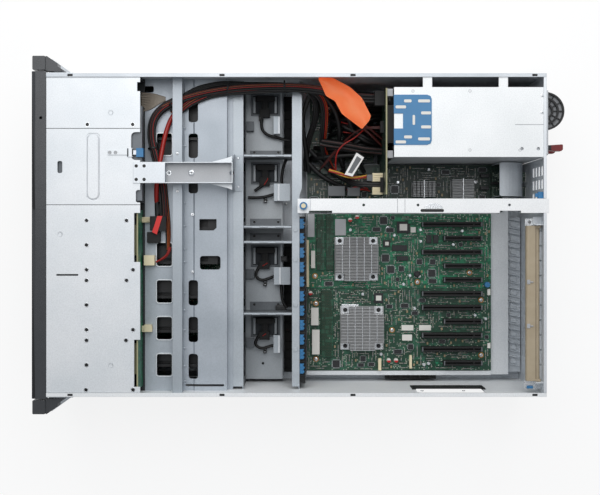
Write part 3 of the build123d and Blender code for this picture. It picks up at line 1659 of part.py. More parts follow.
def make_wire_connectors():
    """Housings at the ends of the cables and on the backplanes."""
    deck = deck_top_z
    housings = [
        block(-26.0, -6.0, -205.0, -183.0, deck, deck + 16),
        block(28.0, 42.0, cage_back_y + 0.1, -199.3, deck, deck + 12),
        block(124.0, 134.0, cage_back_y + 0.1, -204.0, deck, deck + 9),
        block(-198.0, -178.0, 104.0, psu_backplane_y, bundle_z - 10, bundle_z + 10),
        block(-158.0, -142.0, 113.0, psu_backplane_y, 112, 128),
        block(-80.0, -60.0, 113.0, psu_backplane_y, 110, 126),
    ]
    return group(housings)


def make_orange_tag():
    """Loose orange tag tied to the main bundle."""
    outline = [
        (-213.0, 26.0),
        (-203.0, 66.0),
        (-186.0, 86.0),
        (-164.0, 98.0),
        (-150.0, 86.0),
        (-167.0, 58.0),
        (-186.0, 38.0),
        (-200.0, 22.0),
    ]
    low = bundle_z + main_bundle_radius + running_gap
    return prism(outline, "z", low, low + 0.6)


parts = {
    "chassis_pan": make_chassis_pan(),
    "rear_panel": make_rear_panel(),
    "slot_covers": make_slot_covers(),
    "drive_cage": make_drive_cage(),
    "cage_covers": make_cage_covers(),
    "drive_backplane": make_drive_backplane(),
    "mid_shelf": make_mid_shelf(),
    "shelf_strut": make_shelf_strut(),
    "brace_channel": make_brace_channel(),
    "fan_front_wall": make_fan_front_wall(),
    "fan_rear_wall": make_fan_rear_wall(),
    "fan_bay_floor": make_fan_bay_floor(),
    "fan_dividers": make_fan_dividers(),
    "fan_connectors": make_fan_connectors(),
    "card_guide_strip": make_card_guide_strip(),
    "card_clips": make_card_clips(),
    "io_tray": make_io_tray(),
    "io_boards": make_io_boards(),
    "expansion_slots": make_expansion_slots(),
    "board_heatsinks": make_board_heatsinks(),
    "system_board": make_system_board(),
    "psu_cage": make_psu_cage(),
    "psu_backplane": make_psu_backplane(),
    "cross_bar": make_cross_bar(),
    "cross_bar_screw": make_cross_bar_screw(),
    "cross_bar_latch": make_cross_bar_latch(),
    "card_retainer": make_card_retainer(),
    "front_bezel": make_front_bezel(),
    "power_button": make_power_button(),
    "rack_ears": make_rack_ears(),
    "ear_lever_left": make_ear_lever(-1),
    "ear_lever_right": make_ear_lever(1),
    "optical_drive": make_optical_drive(),
    "optical_tray": make_optical_tray(),
    "optical_latch": make_optical_latch(),
    "hot_drive_1": make_hot_drive(0, 0),
    "hot_drive_2": make_hot_drive(1, 0),
    "drive_lever_1": make_drive_lever(0, 0),
    "drive_lever_2": make_drive_lever(1, 0),
    "drive_blanks": make_drive_blanks(),
    "drawer_tray": make_drawer_tray(),
    "drawer_front": make_drawer_front(),
    "drawer_lever_left": make_drawer_lever(-1),
    "drawer_lever_right": make_drawer_lever(1),
    "processor_board": make_processor_board(),
    "processor_heatsinks": make_processor_heatsinks(),
    "memory_cartridges": make_memory_cartridges(),
    "black_harness": make_black_harness(),
    "red_leads": make_red_leads(),
    "ribbon_cable": make_ribbon_cable(),
    "wire_connectors": make_wire_connectors(),
    "orange_tag": make_orange_tag(),
}
for number in range(psu_count):
    parts["psu_" + str(number + 1)] = make_psu(number)
    parts["psu_latch_" + str(number + 1)] = make_psu_latch(number)

os.makedirs("parts", exist_ok=True)
for name, shape in parts.items():
    export_step(shape, "parts/" + name + ".step")
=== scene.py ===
import math
import random

import bmesh
import bpy
from mathutils import Matrix, Vector


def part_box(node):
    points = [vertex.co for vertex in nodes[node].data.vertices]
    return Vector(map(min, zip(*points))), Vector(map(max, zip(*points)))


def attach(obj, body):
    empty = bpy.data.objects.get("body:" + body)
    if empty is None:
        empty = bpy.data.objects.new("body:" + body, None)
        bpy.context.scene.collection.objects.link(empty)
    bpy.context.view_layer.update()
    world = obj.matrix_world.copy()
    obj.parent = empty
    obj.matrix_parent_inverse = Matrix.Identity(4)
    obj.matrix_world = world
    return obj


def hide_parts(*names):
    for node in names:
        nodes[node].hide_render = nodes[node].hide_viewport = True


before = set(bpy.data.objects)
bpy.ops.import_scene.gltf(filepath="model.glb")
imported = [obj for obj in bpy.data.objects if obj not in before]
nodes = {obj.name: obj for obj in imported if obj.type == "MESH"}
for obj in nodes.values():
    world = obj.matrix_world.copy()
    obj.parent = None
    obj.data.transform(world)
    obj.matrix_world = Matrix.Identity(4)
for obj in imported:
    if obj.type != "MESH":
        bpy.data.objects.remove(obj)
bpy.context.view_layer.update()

world_scene = bpy.context.scene
world_scene.view_settings.view_transform = "Standard"


# Table, camera and lamps: the server stands on a white table.
# The camera looks straight down with the server's front at the left of the picture,
# and one wide soft lamp hangs over the front left corner.
def linear(hex_code):
    """Linear colour for a socket from an sRGB hex code."""
    channels = [int(hex_code[start : start + 2], 16) / 255 for start in (0, 2, 4)]
    curved = [c / 12.92 if c <= 0.04045 else ((c + 0.055) / 1.055) ** 2.4 for c in channels]
    return (*curved, 1.0)


def fill(node, inputs):
    """Fills inputs of a node with values, or links sockets to them."""
    for key, value in inputs.items():
        if isinstance(value, bpy.types.NodeSocket):
            node.id_data.links.new(value, node.inputs[key])
        else:
            node.inputs[key].default_value = value


def add_node(tree, kind, inputs=None, **settings):
    """Adds a node, sets its properties and fills its inputs."""
    node = tree.nodes.new(kind)
    for name, value in settings.items():
        setattr(node, name, value)
    fill(node, inputs or {})
    return node


def set_out(name, data):
    """Puts a new object in the scene."""
    item = bpy.data.objects.new(name, data)
    world_scene.collection.objects.link(item)
    return item


top_plane, camera_height, mm_per_pixel = 172.5, 1380.0, 1.344
photo_width, photo_height = 600, 495
photo_centre = (299.0, 235.0)
half_sensor = 18.0
camera_data = bpy.data.cameras.new("overhead_camera")
camera_data.sensor_width = 2 * half_sensor
camera_data.lens = half_sensor * camera_height / (mm_per_pixel * photo_width / 2)
camera_data.shift_x = (photo_width / 2 - photo_centre[0]) / photo_width
camera_data.shift_y = -(photo_height / 2 - photo_centre[1]) / photo_width
camera = set_out("overhead_camera", camera_data)
facing = Matrix(((0, -1, 0), (1, 0, 0), (0, 0, 1))).to_4x4()
camera.matrix_world = Matrix.Translation((0, 0, (top_plane + camera_height) / 1000)) @ facing
world_scene.camera = camera

world = bpy.data.worlds.new("studio_air")
world.use_nodes = True
world_scene.world = world
fill(world.node_tree.nodes["Background"], {"Color": linear("f3f6fa"), "Strength": 0.4})

lamp_data = bpy.data.lights.new("soft_box", "AREA")
lamp_data.shape = "RECTANGLE"
lamp_data.size = 1.55
lamp_data.size_y = 1.75
lamp_data.energy = 19.0
lamp = set_out("soft_box", lamp_data)
lamp.location = (-0.85, -0.05, 1.28)
lamp.rotation_euler = Vector((0.8, 0.1, -1.1)).to_track_quat("-Z", "Y").to_euler()

table_bm = bmesh.new()
bmesh.ops.create_grid(table_bm, x_segments=1, y_segments=1, size=4.0)
table_mesh = bpy.data.meshes.new("white_table")
table_bm.to_mesh(table_mesh)
set_out("white_table", table_mesh)
# White laminate: plain, matt, and lit to paper white for the camera, keeping the shadow
laminate = bpy.data.materials.new("white_laminate")
laminate.use_nodes = True
tree = laminate.node_tree
shader = tree.nodes["Principled BSDF"]
fill(shader, {"Base Color": linear("f4f4f4"), "Roughness": 0.8})
camera_ray = add_node(tree, "ShaderNodeLightPath").outputs["Is Camera Ray"]
seen = add_node(tree, "ShaderNodeMath", {0: camera_ray, 1: 0.78}, operation="MULTIPLY")
glow = add_node(tree, "ShaderNodeEmission", {"Color": (1, 1, 1, 1), "Strength": 1.05})
blend = add_node(tree, "ShaderNodeMixShader", {0: seen.outputs[0], 1: shader.outputs[0], 2: glow.outputs[0]})
fill(tree.nodes["Material Output"], {"Surface": blend.outputs[0]})
table_mesh.materials.append(laminate)


# Case: floor, side walls and rims bent from one zinc-plated sheet, with a riveted rear panel.
# Zinc-plated steel is pale grey and satin: it shows soft reflections,
# a fine crystal speckle and bright rounded edges.
def new_material(name):
    """New material with its tree, its shader and the object coordinates that its nodes use."""
    material = bpy.data.materials.new(name)
    material.use_nodes = True
    tree = material.node_tree
    place = add_node(tree, "ShaderNodeTexCoord").outputs["Object"]
    return material, tree, tree.nodes["Principled BSDF"], place


def plated_sheet(name, tone, shade, roughness=0.42, metallic=0.45):
    """Zinc-plated sheet steel with cloudy tone, fine speckle and rounded edges."""
    material, tree, shader, place = new_material(name)
    clouds = add_node(tree, "ShaderNodeTexNoise", {"Vector": place, "Scale": 14.0, "Detail": 3.0})
    speckle = add_node(tree, "ShaderNodeTexNoise", {"Vector": place, "Scale": 620.0, "Detail": 2.0})
    cloud_range = {"Value": clouds.outputs["Fac"], "From Min": 0.35, "From Max": 0.68}
    share = add_node(tree, "ShaderNodeMapRange", cloud_range)
    tones = {0: share.outputs["Result"], 6: linear(tone), 7: linear(shade)}
    body = add_node(tree, "ShaderNodeMix", tones, data_type="RGBA")
    spots = {"Value": speckle.outputs["Fac"], "From Min": 0.3, "From Max": 0.7}
    grain = add_node(tree, "ShaderNodeMapRange", {**spots, "To Min": 0.93, "To Max": 1.05})
    scaling = {0: body.outputs[2], "Scale": grain.outputs["Result"]}
    speckled = add_node(tree, "ShaderNodeVectorMath", scaling, operation="SCALE")
    low, high = roughness - 0.06, roughness + 0.08
    rough = add_node(tree, "ShaderNodeMapRange", {**spots, "To Min": low, "To Max": high})
    edge = add_node(tree, "ShaderNodeBevel", {"Radius": 0.0007}, samples=4)
    relief = {"Height": speckle.outputs["Fac"], "Strength": 0.06, "Distance": 0.0002}
    bump = add_node(tree, "ShaderNodeBump", {**relief, "Normal": edge.outputs["Normal"]})
    fill(shader, {"Base Color": speckled.outputs[0], "Roughness": rough.outputs["Result"]})
    fill(shader, {"Metallic": metallic, "Normal": bump.outputs["Normal"]})
    return material


def coat(material, *names):
    """Gives CAD nodes one material."""
    for name in names:
        mesh = nodes[name].data
        mesh.materials.clear()
        mesh.materials.append(material)


def coat_part(material, name, test):
    """Gives a second material to the faces of a CAD node whose middle and direction pass a test."""
    mesh = nodes[name].data
    mesh.materials.append(material)
    index = len(mesh.materials) - 1
    for face in mesh.polygons:
        if test(face.center * 1000, face.normal):
            face.material_index = index


bright_sheet = plated_sheet("zinc_plated_steel_bright", "e6eaee", "d9dee3")
case_sheet = plated_sheet("zinc_plated_steel", "cfd4d9", "bfc5cb")
# The side walls take a lighter copy of this steel as painted light, and the right wall's inner face and rim,
# which face the lamp, the lightest copy as a painted highlight.
wall_sheet = plated_sheet("zinc_plated_steel_wall", "dde1e5", "d2d7db", 0.5, 0.12)
wall_painted_highlight_sheet = plated_sheet("zinc_plated_steel_wall_painted_highlight", "f7f9fa", "eef1f3", 0.5, 0.1)
coat(bright_sheet, "rear_panel", "slot_covers", "rack_ears")
coat(case_sheet, "chassis_pan")
coat_part(wall_sheet, "chassis_pan", lambda at, way: abs(way.x) > 0.9 and abs(at.x) < 217)
coat_part(wall_painted_highlight_sheet, "chassis_pan", lambda at, way: at.x > 205 and (way.x < -0.9 or at.z > 170))


def add_cuboid(bm, x0, x1, y0, y1, z0, z1):
    """Adds a box between two corners, in millimetres."""
    corners = [bm.verts.new((x, y, z)) for x in (x0, x1) for y in (y0, y1) for z in (z0, z1)]
    for quad in ((0, 1, 3, 2), (4, 6, 7, 5), (0, 4, 5, 1), (2, 3, 7, 6), (0, 2, 6, 4), (1, 5, 7, 3)):
        bm.faces.new([corners[index] for index in quad])


def add_round(bm, x, y, z0, z1, radius, top_radius=None, sides=20):
    """Adds an upright round peg or disc, in millimetres."""
    shift = Matrix.Translation((x, y, (z0 + z1) / 2))
    top_radius = radius if top_radius is None else top_radius
    bmesh.ops.create_cone(
        bm, cap_ends=True, segments=sides, radius1=radius, radius2=top_radius, depth=z1 - z0, matrix=shift
    )


def bridge(bm, low, high):
    """Adds the faces between two rings of corners."""
    for index in range(len(low)):
        after = (index + 1) % len(low)
        bm.faces.new((low[index], low[after], high[after], high[index]))


def add_ring(bm, x, y, z0, z1, inner, outer, sides=20):
    """Adds a flat washer, in millimetres."""
    turns = [2 * math.pi * step / sides for step in range(sides)]
    rows = [
        [bm.verts.new((x + radius * math.cos(turn), y + radius * math.sin(turn), z)) for turn in turns]
        for radius, z in ((inner, z0), (outer, z0), (outer, z1), (inner, z1))
    ]
    for row, after in zip(rows, rows[1:] + rows[:1]):
        bridge(bm, row, after)


def add_plate(bm, outline, z0, z1, top_outline=None):
    """Adds a flat plate of any outline, in millimetres; a smaller top gives it a sloped edge."""
    low = [bm.verts.new((x, y, z0)) for x, y in outline]
    high = [bm.verts.new((x, y, z1)) for x, y in top_outline or outline]
    bm.faces.new(low)
    bm.faces.new(high)
    bridge(bm, low, high)


def drawing(add, *rows, **options):
    """New drawing with one shape for each row of sizes."""
    bm = bmesh.new()
    for row in rows:
        add(bm, *row, **options)
    return bm


def mesh_of(bm, name):
    """Mesh in metres from a drawing in millimetres, with its faces turned outwards."""
    bmesh.ops.scale(bm, vec=(0.001, 0.001, 0.001), verts=bm.verts)
    bmesh.ops.recalc_face_normals(bm, faces=bm.faces)
    mesh = bpy.data.meshes.new(name)
    bm.to_mesh(mesh)
    bm.free()
    return mesh


def evaluated_mesh(name, holder):
    """Plain mesh of an object as its modifiers or its curve shape it; the object itself goes."""
    graph = bpy.context.evaluated_depsgraph_get()
    mesh = bpy.data.meshes.new_from_object(holder.evaluated_get(graph))
    mesh.name = name
    bpy.data.objects.remove(holder)
    return mesh


def place_piece(name, mesh, body, replaces=()):
    """Makes a mesh a visible piece that rides on a body."""
    piece = set_out(name, mesh)
    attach(piece, body)
    if replaces:
        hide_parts(*replaces)
    return piece


def add_piece(name, bm, material, slot="plated_steel", body="chassis", bevel=0.0, replaces=()):
    """Turns a drawing into a finished piece."""
    mesh = mesh_of(bm, name)
    mesh.materials.append(material)
    piece = place_piece(name, mesh, body, replaces)
    if bevel:
        rounding = piece.modifiers.new("rounding", "BEVEL")
        rounding.width = bevel / 1000
        rounding.segments = 2
        rounding.limit_method = "ANGLE"
    return piece


# One tree sets copies of a small part at points, each with its own turn and size
copies_tree = bpy.data.node_groups.new("set_copies_at_points", "GeometryNodeTree")
sockets = {}
for label, way, kind in (
    ("Points", "INPUT", "Geometry"),
    ("Part", "INPUT", "Object"),
    ("Overall Size", "INPUT", "Float"),
    ("Finish", "INPUT", "Material"),
    ("Copies", "OUTPUT", "Geometry"),
):
    sockets[label] = copies_tree.interface.new_socket(label, in_out=way, socket_type="NodeSocket" + kind)
given = add_node(copies_tree, "NodeGroupInput").outputs
part = add_node(copies_tree, "GeometryNodeObjectInfo", {"Object": given["Part"]})
turn = add_node(copies_tree, "GeometryNodeInputNamedAttribute", {"Name": "turn"}, data_type="FLOAT_VECTOR")
size = add_node(copies_tree, "GeometryNodeInputNamedAttribute", {"Name": "size"}, data_type="FLOAT_VECTOR")
scaling = {0: size.outputs[0], "Scale": given["Overall Size"]}
sized = add_node(copies_tree, "ShaderNodeVectorMath", scaling, operation="SCALE")
where = {"Points": given["Points"], "Rotation": turn.outputs[0], "Scale": sized.outputs[0]}
placed = add_node(
    copies_tree, "GeometryNodeInstanceOnPoints", {**where, "Instance": part.outputs["Geometry"]}
)
solid = add_node(copies_tree, "GeometryNodeRealizeInstances", {"Geometry": placed.outputs[0]})
finish = {"Geometry": solid.outputs[0], "Material": given["Finish"]}
finished = add_node(copies_tree, "GeometryNodeSetMaterial", finish)
add_node(copies_tree, "NodeGroupOutput", {"Copies": finished.outputs[0]})


def set_copies(name, part, places, material, body="chassis", smooth=False):
    """Sets copies of a part at places, each (x, y, z), (x, y, z, turn) or (x, y, z, turn, (sx, sy, sz))."""
    pattern = set_out(name + "_part", mesh_of(part, name + "_part"))
    points = bpy.data.meshes.new(name + "_points")
    points.from_pydata([[value / 1000 for value in place[:3]] for place in places], [], [])
    turns = points.attributes.new("turn", "FLOAT_VECTOR", "POINT")
    sizes = points.attributes.new("size", "FLOAT_VECTOR", "POINT")
    for index, place in enumerate(places):
        turn = place[3] if len(place) > 3 else 0.0
        turns.data[index].vector = turn if isinstance(turn, tuple) else (0, 0, turn)
        sizes.data[index].vector = place[4] if len(place) > 4 else (1, 1, 1)
    holder = set_out(name + "_points", points)
    modifier = holder.modifiers.new("copies", "NODES")
    modifier.node_group = copies_tree
    for label, value in (("Part", pattern), ("Overall Size", 1.0), ("Finish", material)):
        modifier[sockets[label].identifier] = value
    mesh = evaluated_mesh(name, holder)
    bpy.data.objects.remove(pattern)
    for stray in [item.name for item in mesh.attributes if item.name in ("turn", "size")]:
        mesh.attributes.remove(mesh.attributes[stray])
    if smooth:
        mesh.shade_smooth()
    return place_piece(name, mesh, body)


def moulded_plastic(name, colour, roughness=0.5, grain=0.15, shade=None, rounded=True):
    """Moulded plastic with fine grain, slightly uneven tone and, but for thin film, round edges."""
    material, tree, shader, place = new_material(name)
    clouds = add_node(tree, "ShaderNodeTexNoise", {"Vector": place, "Scale": 55.0, "Detail": 4.0})
    pits = add_node(tree, "ShaderNodeTexNoise", {"Vector": place, "Scale": 1400.0, "Detail": 2.0})
    tones = {0: clouds.outputs["Fac"], 6: linear(colour), 7: linear(shade or colour)}
    base = add_node(tree, "ShaderNodeMix", tones, data_type="RGBA")
    spots = {"Value": pits.outputs["Fac"], "From Min": 0.3, "From Max": 0.7}
    low, high = roughness - 0.06, roughness + 0.06
    rough = add_node(tree, "ShaderNodeMapRange", {**spots, "To Min": low, "To Max": high})
    relief = {"Height": pits.outputs["Fac"], "Strength": grain, "Distance": 0.0002}
    if rounded:
        relief["Normal"] = add_node(tree, "ShaderNodeBevel", {"Radius": 0.0005}, samples=4).outputs["Normal"]
    bump = add_node(tree, "ShaderNodeBump", relief)
    fill(shader, {"Base Color": base.outputs[2], "Roughness": rough.outputs["Result"]})
    fill(shader, {"Normal": bump.outputs["Normal"]})
    return material


black_nylon = moulded_plastic("black_nylon", "0c0c0d", 0.45, shade="17181a")
cap = drawing(add_cuboid, (-1.3, 1.3, -3.2, 3.2, -1.6, 0.25))
for y in (-2.1, 2.1):
    add_round(cap, 0, y, 0.2, 0.5, 0.8, sides=8)
notches = [(side * 215.0, y, top_plane - 0.5) for side in (-1, 1) for y in (-307.8, -103.5, 72.6, 317.2)]
set_copies("rim_notch_caps", cap, notches, black_nylon)

# Pressed rivets along the side walls, domed and bright
polished_steel_and_highlight = plated_sheet("polished_rivet_steel_and_painted_highlight", "f2f4f6", "e2e6ea", 0.25, 0.8)
rivet = drawing(add_round, (0, 0, 0, 0.5, 2.6, 2.2), (0, 0, 0.5, 1.0, 2.2, 1.0), sides=12)
rivet_places = []
for side in (-1, 1):
    for y in range(-310, 300, 58):
        for shift, z in ((0, 18.0), (18, 118.0)):
            rivet_places.append((side * 217.4, y + shift, z, (0, side * math.pi / 2, 0)))
set_copies("side_rivets", rivet, rivet_places, polished_steel_and_highlight)


def seen_at(px, py, z):
    """Where a pixel of the photograph falls on a level plane, in millimetres."""
    reach = mm_per_pixel * (1 + (top_plane - z) / camera_height)
    return ((py - photo_centre[1]) * reach, (px - photo_centre[0]) * reach)


def seen_box(px0, px1, py0, py1, z):
    """Sides x0, x1, y0, y1 of a rectangle of the photograph on a level plane."""
    x0, y0 = seen_at(px0, py0, z)
    x1, y1 = seen_at(px1, py1, z)
    return x0, x1, y0, y1


def at_pixels(pixels, z):
    """Places on a level plane under pixels of the photograph."""
    return [(*seen_at(px, py, z), z) for px, py in pixels]


# Front strip: a riveted cage for drives and ports under three plated cover plates.
# The plates are blanked and pressed sheet, the brightest steel of the machine,
# with black flat-head screws, each ringed with bright steel as a painted highlight.
cover_sheet = plated_sheet("zinc_plated_steel_cover", "ebeef1", "e0e5e9", 0.44, 0.34)
dark_cavity = plated_sheet("zinc_plated_steel_in_shade", "34373a", "282b2e", 0.5, 0.3)
coat(cover_sheet, "cage_covers")
coat(dark_cavity, "drive_cage")
cover_top = 171.2
screw_pixels = [(87.3, 124.5), (132.7, 124.5), (86.5, 220.5), (126.5, 220.5), (86.5, 245), (86.5, 269.8)]
screw_pixels += [(133, 269.8), (86.5, 280.4), (126.5, 280.4), (86.5, 305), (86.5, 329.8), (133, 329.8)]
screw_pixels += [(86.5, 340.4), (126, 340.4), (86.5, 365), (86, 389.8), (133, 389.8)]
screw_places = at_pixels(screw_pixels, cover_top)
# Bright steel rings round the screws are painted highlights.
set_copies("cover_screw_rims", drawing(add_ring, (0, 0, -0.3, 0.25, 2.3, 3.3)), screw_places, polished_steel_and_highlight)
black_oxide_and_shade = moulded_plastic("black_steel_and_painted_shade", "050505", 0.35, shade="0b0b0c")
flat_head = drawing(add_round, (0, 0, -0.9, 0.2, 2.2, 2.45), sides=16)
set_copies("cover_screws", flat_head, screw_places, black_oxide_and_shade)

# Faint pressed circles on the plates
pressed = at_pixels([(110.5, 112.5), (59.8, 234.3), (110.5, 365.7)], cover_top)
set_copies("cover_press_rings", drawing(add_ring, (0, 0, -0.2, 0.08, 2.6, 3.3)), pressed, cover_sheet)


def rounded_outline(x0, x1, y0, y1, radius, steps=6):
    """Corner points of a rectangle with round corners."""
    low_x, high_x, low_y, high_y = x0 + radius, x1 - radius, y0 + radius, y1 - radius
    points = []
    for x, y, start in ((high_x, high_y, 0), (low_x, high_y, 90), (low_x, low_y, 180), (high_x, low_y, 270)):
        for step in range(steps + 1):
            turn = math.radians(start + 90 * step / steps)
            points.append((x + radius * math.cos(turn), y + radius * math.sin(turn)))
    return points


# Raised pressing across the middle plate: a long rounded pad stamped into the sheet
x0, x1, y0, y1 = seen_box(86.5, 99.5, 133.5, 200.0, cover_top)
foot, slope = 8.0, 2.0
low = rounded_outline(x0, x1, y0, y1, foot)
high = rounded_outline(x0 + slope, x1 - slope, y0 + slope, y1 - slope, foot - slope)
pressing = drawing(add_plate, (low, cover_top - 0.7, cover_top + 1.0, high))
add_piece("cover_pressing", pressing, cover_sheet)

# Front bezel, ear caps and levers: dark grey ABS with a fine moulded grain.
# ABS is matt with a weak sheen, and its edges catch the lamp.
dark_abs = moulded_plastic("dark_grey_abs", "434548", 0.26, 0.12, shade="393b3e")
coat(dark_abs, "front_bezel", "ear_lever_left", "ear_lever_right", "drawer_front", "drive_blanks")
coat(dark_abs, "drive_lever_1", "drive_lever_2", "optical_tray", "power_button")
black_abs = moulded_plastic("black_abs", "141517", 0.4, 0.2, shade="1c1d20")
coat(black_abs, "drawer_lever_left", "drawer_lever_right")
coat_part(black_abs, "front_bezel", lambda at, way: at.y < -357.6)

# Middle shelf, strut and brace: plated sheet between the drive cage and the fans.
# The shelf lies low in the case, so its steel is given a greyer tone as painted shade, and the rims above it
# the bright steel as painted light.
# Rolled rims stiffen its cut-outs, and pan-head screws and pressed studs fix it.
shelf_shade_sheet = plated_sheet("zinc_plated_steel_shelf_painted_shade", "b9c0c8", "a9b1b9", 0.44)
coat(shelf_shade_sheet, "mid_shelf")
coat_part(bright_sheet, "mid_shelf", lambda at, way: at.z > 125.4)
strut_sheet = plated_sheet("zinc_plated_steel_strut", "b4bbc2", "a8b0b7", 0.4)
coat(strut_sheet, "shelf_strut", "brace_channel")
# The brace's top faces take the bright steel as painted light.
coat_part(bright_sheet, "brace_channel", lambda at, way: at.z > 171)
# A grey copy of the steel: the tone of the channel floor here, and painted shade on the lower faces of the
# power supply cage.
channel_sheet = plated_sheet("grey_steel_and_painted_shade", "bcbec1", "b0b2b5", 0.5, 0.3)
coat_part(channel_sheet, "brace_channel", lambda at, way: 159 < at.z < 162 and way.z > 0.5)
deck_z, strut_z, foot_z, brace_top, channel_z = 125.0, 145.0, 113.2, 172.4, 161.2


def set_screws(name, places, radius, material, body="chassis"):
    """Sets pan-head screws with a cross recess on a surface."""
    middle, rim = 0.3 * radius, radius * 0.94
    cone = (0, 0, -0.6, middle, radius, rim)
    dome = (0, 0, middle, 0.45 * radius, rim, radius * 0.55)
    set_copies(name, drawing(add_round, cone, dome, sides=16), places, material, body)
    reach, half, low, high = radius * 0.5, radius * 0.11, radius * 0.4, radius * 0.46
    arms = ((-reach, reach, -half, half), (-half, half, -reach, -half), (-half, half, half, reach))
    # The cross recess is drawn in black as painted shade.
    recess = drawing(add_cuboid, *((*arm, low, high) for arm in arms))
    set_copies(name + "_recesses", recess, places, black_oxide_and_shade, body)


brace_head = drawing(add_round, (0, 0, -0.8, 0.09, 2.3, 2.3), sides=16)
heads = at_pixels([(136.2, 165.9), (144.1, 165.9), (136.2, 179.4), (144.1, 179.4)], brace_top)
set_copies("brace_front_screws", brace_head, heads, black_oxide_and_shade)
set_screws("brace_screw", at_pixels([(191.3, 172.6)], channel_z), 4.4, polished_steel_and_highlight)
# A black half-round plate in the end hole of the brace is painted shade.
x, y = seen_at(231.5, 173, channel_z)
hole_radius = 3.4
arc = [(hole_radius * math.cos(turn / 10), hole_radius * math.sin(turn / 10)) for turn in range(3, 31, 3)]
half_round = [(x + dx, y + dy) for dx, dy in [(-hole_radius, 0), (hole_radius, 0), *arc]]
end_hole = drawing(add_plate, (half_round, channel_z - 0.3, channel_z + 0.06))
add_piece("brace_end_hole", end_hole, black_oxide_and_shade)
brace_x = -84.0
corners = [(14.2, -121.0), (14.2, -90.5), (23.2, -90.5), (21.2, -95.0)]
sides = ([(brace_x + side * x, y) for x, y in corners] for side in (-1, 1))
gussets = drawing(add_plate, *((outline, channel_z - 0.6, channel_z + 0.6) for outline in sides))
add_piece("brace_gussets", gussets, cover_sheet, bevel=0.3)
# A bright steel ring round the brace hole is a painted highlight.
rim = drawing(add_ring, (0, 0, 0, 0.4, 2.1, 3.4))
set_copies("brace_hole_rims", rim, at_pixels([(169, 173)], channel_z), polished_steel_and_highlight)
foot_rivet = drawing(add_round, (0, 0, -0.2, 0.9, 1.9, 1.1), sides=14)
foot_rivets = at_pixels([(238.2, 158.3), (238.2, 187)], foot_z)
set_copies("brace_foot_rivets", foot_rivet, foot_rivets, polished_steel_and_highlight)
set_screws("strut_screws", at_pixels([(177.3, 153.5), (177.3, 191.3)], strut_z), 2.2, polished_steel_and_highlight)
studs = [(192.5, 214.5), (192.5, 272), (139.5, 232.5), (139.5, 239.5)]
studs += [(139.5, 352.5), (139.5, 360), (141, 381)]
stud = drawing(add_ring, (0, 0, -0.1, 0.5, 1.2, 2.2), sides=14)
add_round(stud, 0, 0, -0.1, 1.3, 1.25, 1.0, sides=14)
set_copies("shelf_studs", stud, at_pixels(studs, deck_z), polished_steel_and_highlight)

# Half-round dimples in a row along the trough, each pressed up a little from the sheet
dimple = bmesh.new()
bmesh.ops.create_uvsphere(dimple, u_segments=14, v_segments=8, radius=1.0)
bmesh.ops.delete(dimple, geom=[v for v in dimple.verts if v.co.z < -0.05], context="VERTS")
dimples = [
    (*seen_at(184, py, deck_z), deck_z - 0.1, 0.0, (1.4, 3.2, 0.9))
    for py in (104, 128, 146, 203, 226, 249, 262, 293, 310, 330, 348, 366, 381)
]
set_copies("shelf_dimples", dimple, dimples, shelf_shade_sheet, smooth=True)

# Fan cage: two rails over upright walls, four dividers and a low floor.
# All are plated sheet, dulled by the shade between the walls.
# Each bay holds a black plug, a bent bracket and the clip that guides the fan's lead.
rail_sheet = plated_sheet("zinc_plated_steel_rail", "bcc3c9", "aeb6bd", 0.4)
bay_sheet = plated_sheet("zinc_plated_steel_bay", "767b80", "63686d", 0.42, 0.3)
floor_sheet = plated_sheet("zinc_plated_steel_floor", "b4b9bd", "a2a8ad", 0.42, 0.4)
coat(bay_sheet, "fan_dividers")
coat(floor_sheet, "fan_bay_floor")
coat(rail_sheet, "fan_front_wall", "fan_rear_wall")
for wall in ("fan_front_wall", "fan_rear_wall"):
    coat_part(bay_sheet, wall, lambda at, way: at.z < 110.5)
black_matt = moulded_plastic("black_matt_nylon", "050506", 0.62, 0.1, shade="090909")
coat(black_matt, "fan_connectors", "card_guide_strip")
coat_part(bay_sheet, "fan_bay_floor", lambda at, way: at.z > 42.5)
bay_floor_z, bracket_z, small_bracket_z = 41.0, 66.0, 50.0
fan_seats = (-207.0, -106.7, 14.7, 117.7)

# Bent brackets at the rear of the bays, each with a fold strip in the bright steel as a painted highlight,
# and small ones at the front
brackets, folds, small_brackets = bmesh.new(), bmesh.new(), bmesh.new()
for x0, x1, y0, y1, fold_y in (
    (-172.0, -146.0, -37.0, -27.5, -30.5),
    (-74.5, -49.0, -36.5, -12.5, -31.0),
    (46.5, 72.0, -36.5, -12.5, -29.0),
    (145.0, 171.0, -37.0, -27.5, -30.5),
):
    add_cuboid(brackets, x0, x1, y0, y1, bracket_z, bracket_z + 1.0)
    add_cuboid(brackets, x0, x1, y0, y0 + 1.0, bay_floor_z, bracket_z)
    add_cuboid(folds, x0 + 0.5, x1 - 0.5, fold_y, fold_y + 3.2, bracket_z + 0.5, bracket_z + 2.0)
for x in (-166.0, 50.0, 151.0):
    add_cuboid(small_brackets, x, x + 14, -77.5, -66.0, small_bracket_z, small_bracket_z + 1.0)
    add_cuboid(small_brackets, x, x + 14, -67.0, -66.0, bay_floor_z, small_bracket_z)
add_piece("bay_brackets", brackets, rail_sheet, bevel=0.3)
add_piece("bay_bracket_folds", folds, bright_sheet, bevel=0.3)
add_piece("bay_small_brackets", small_brackets, bay_sheet, bevel=0.3)

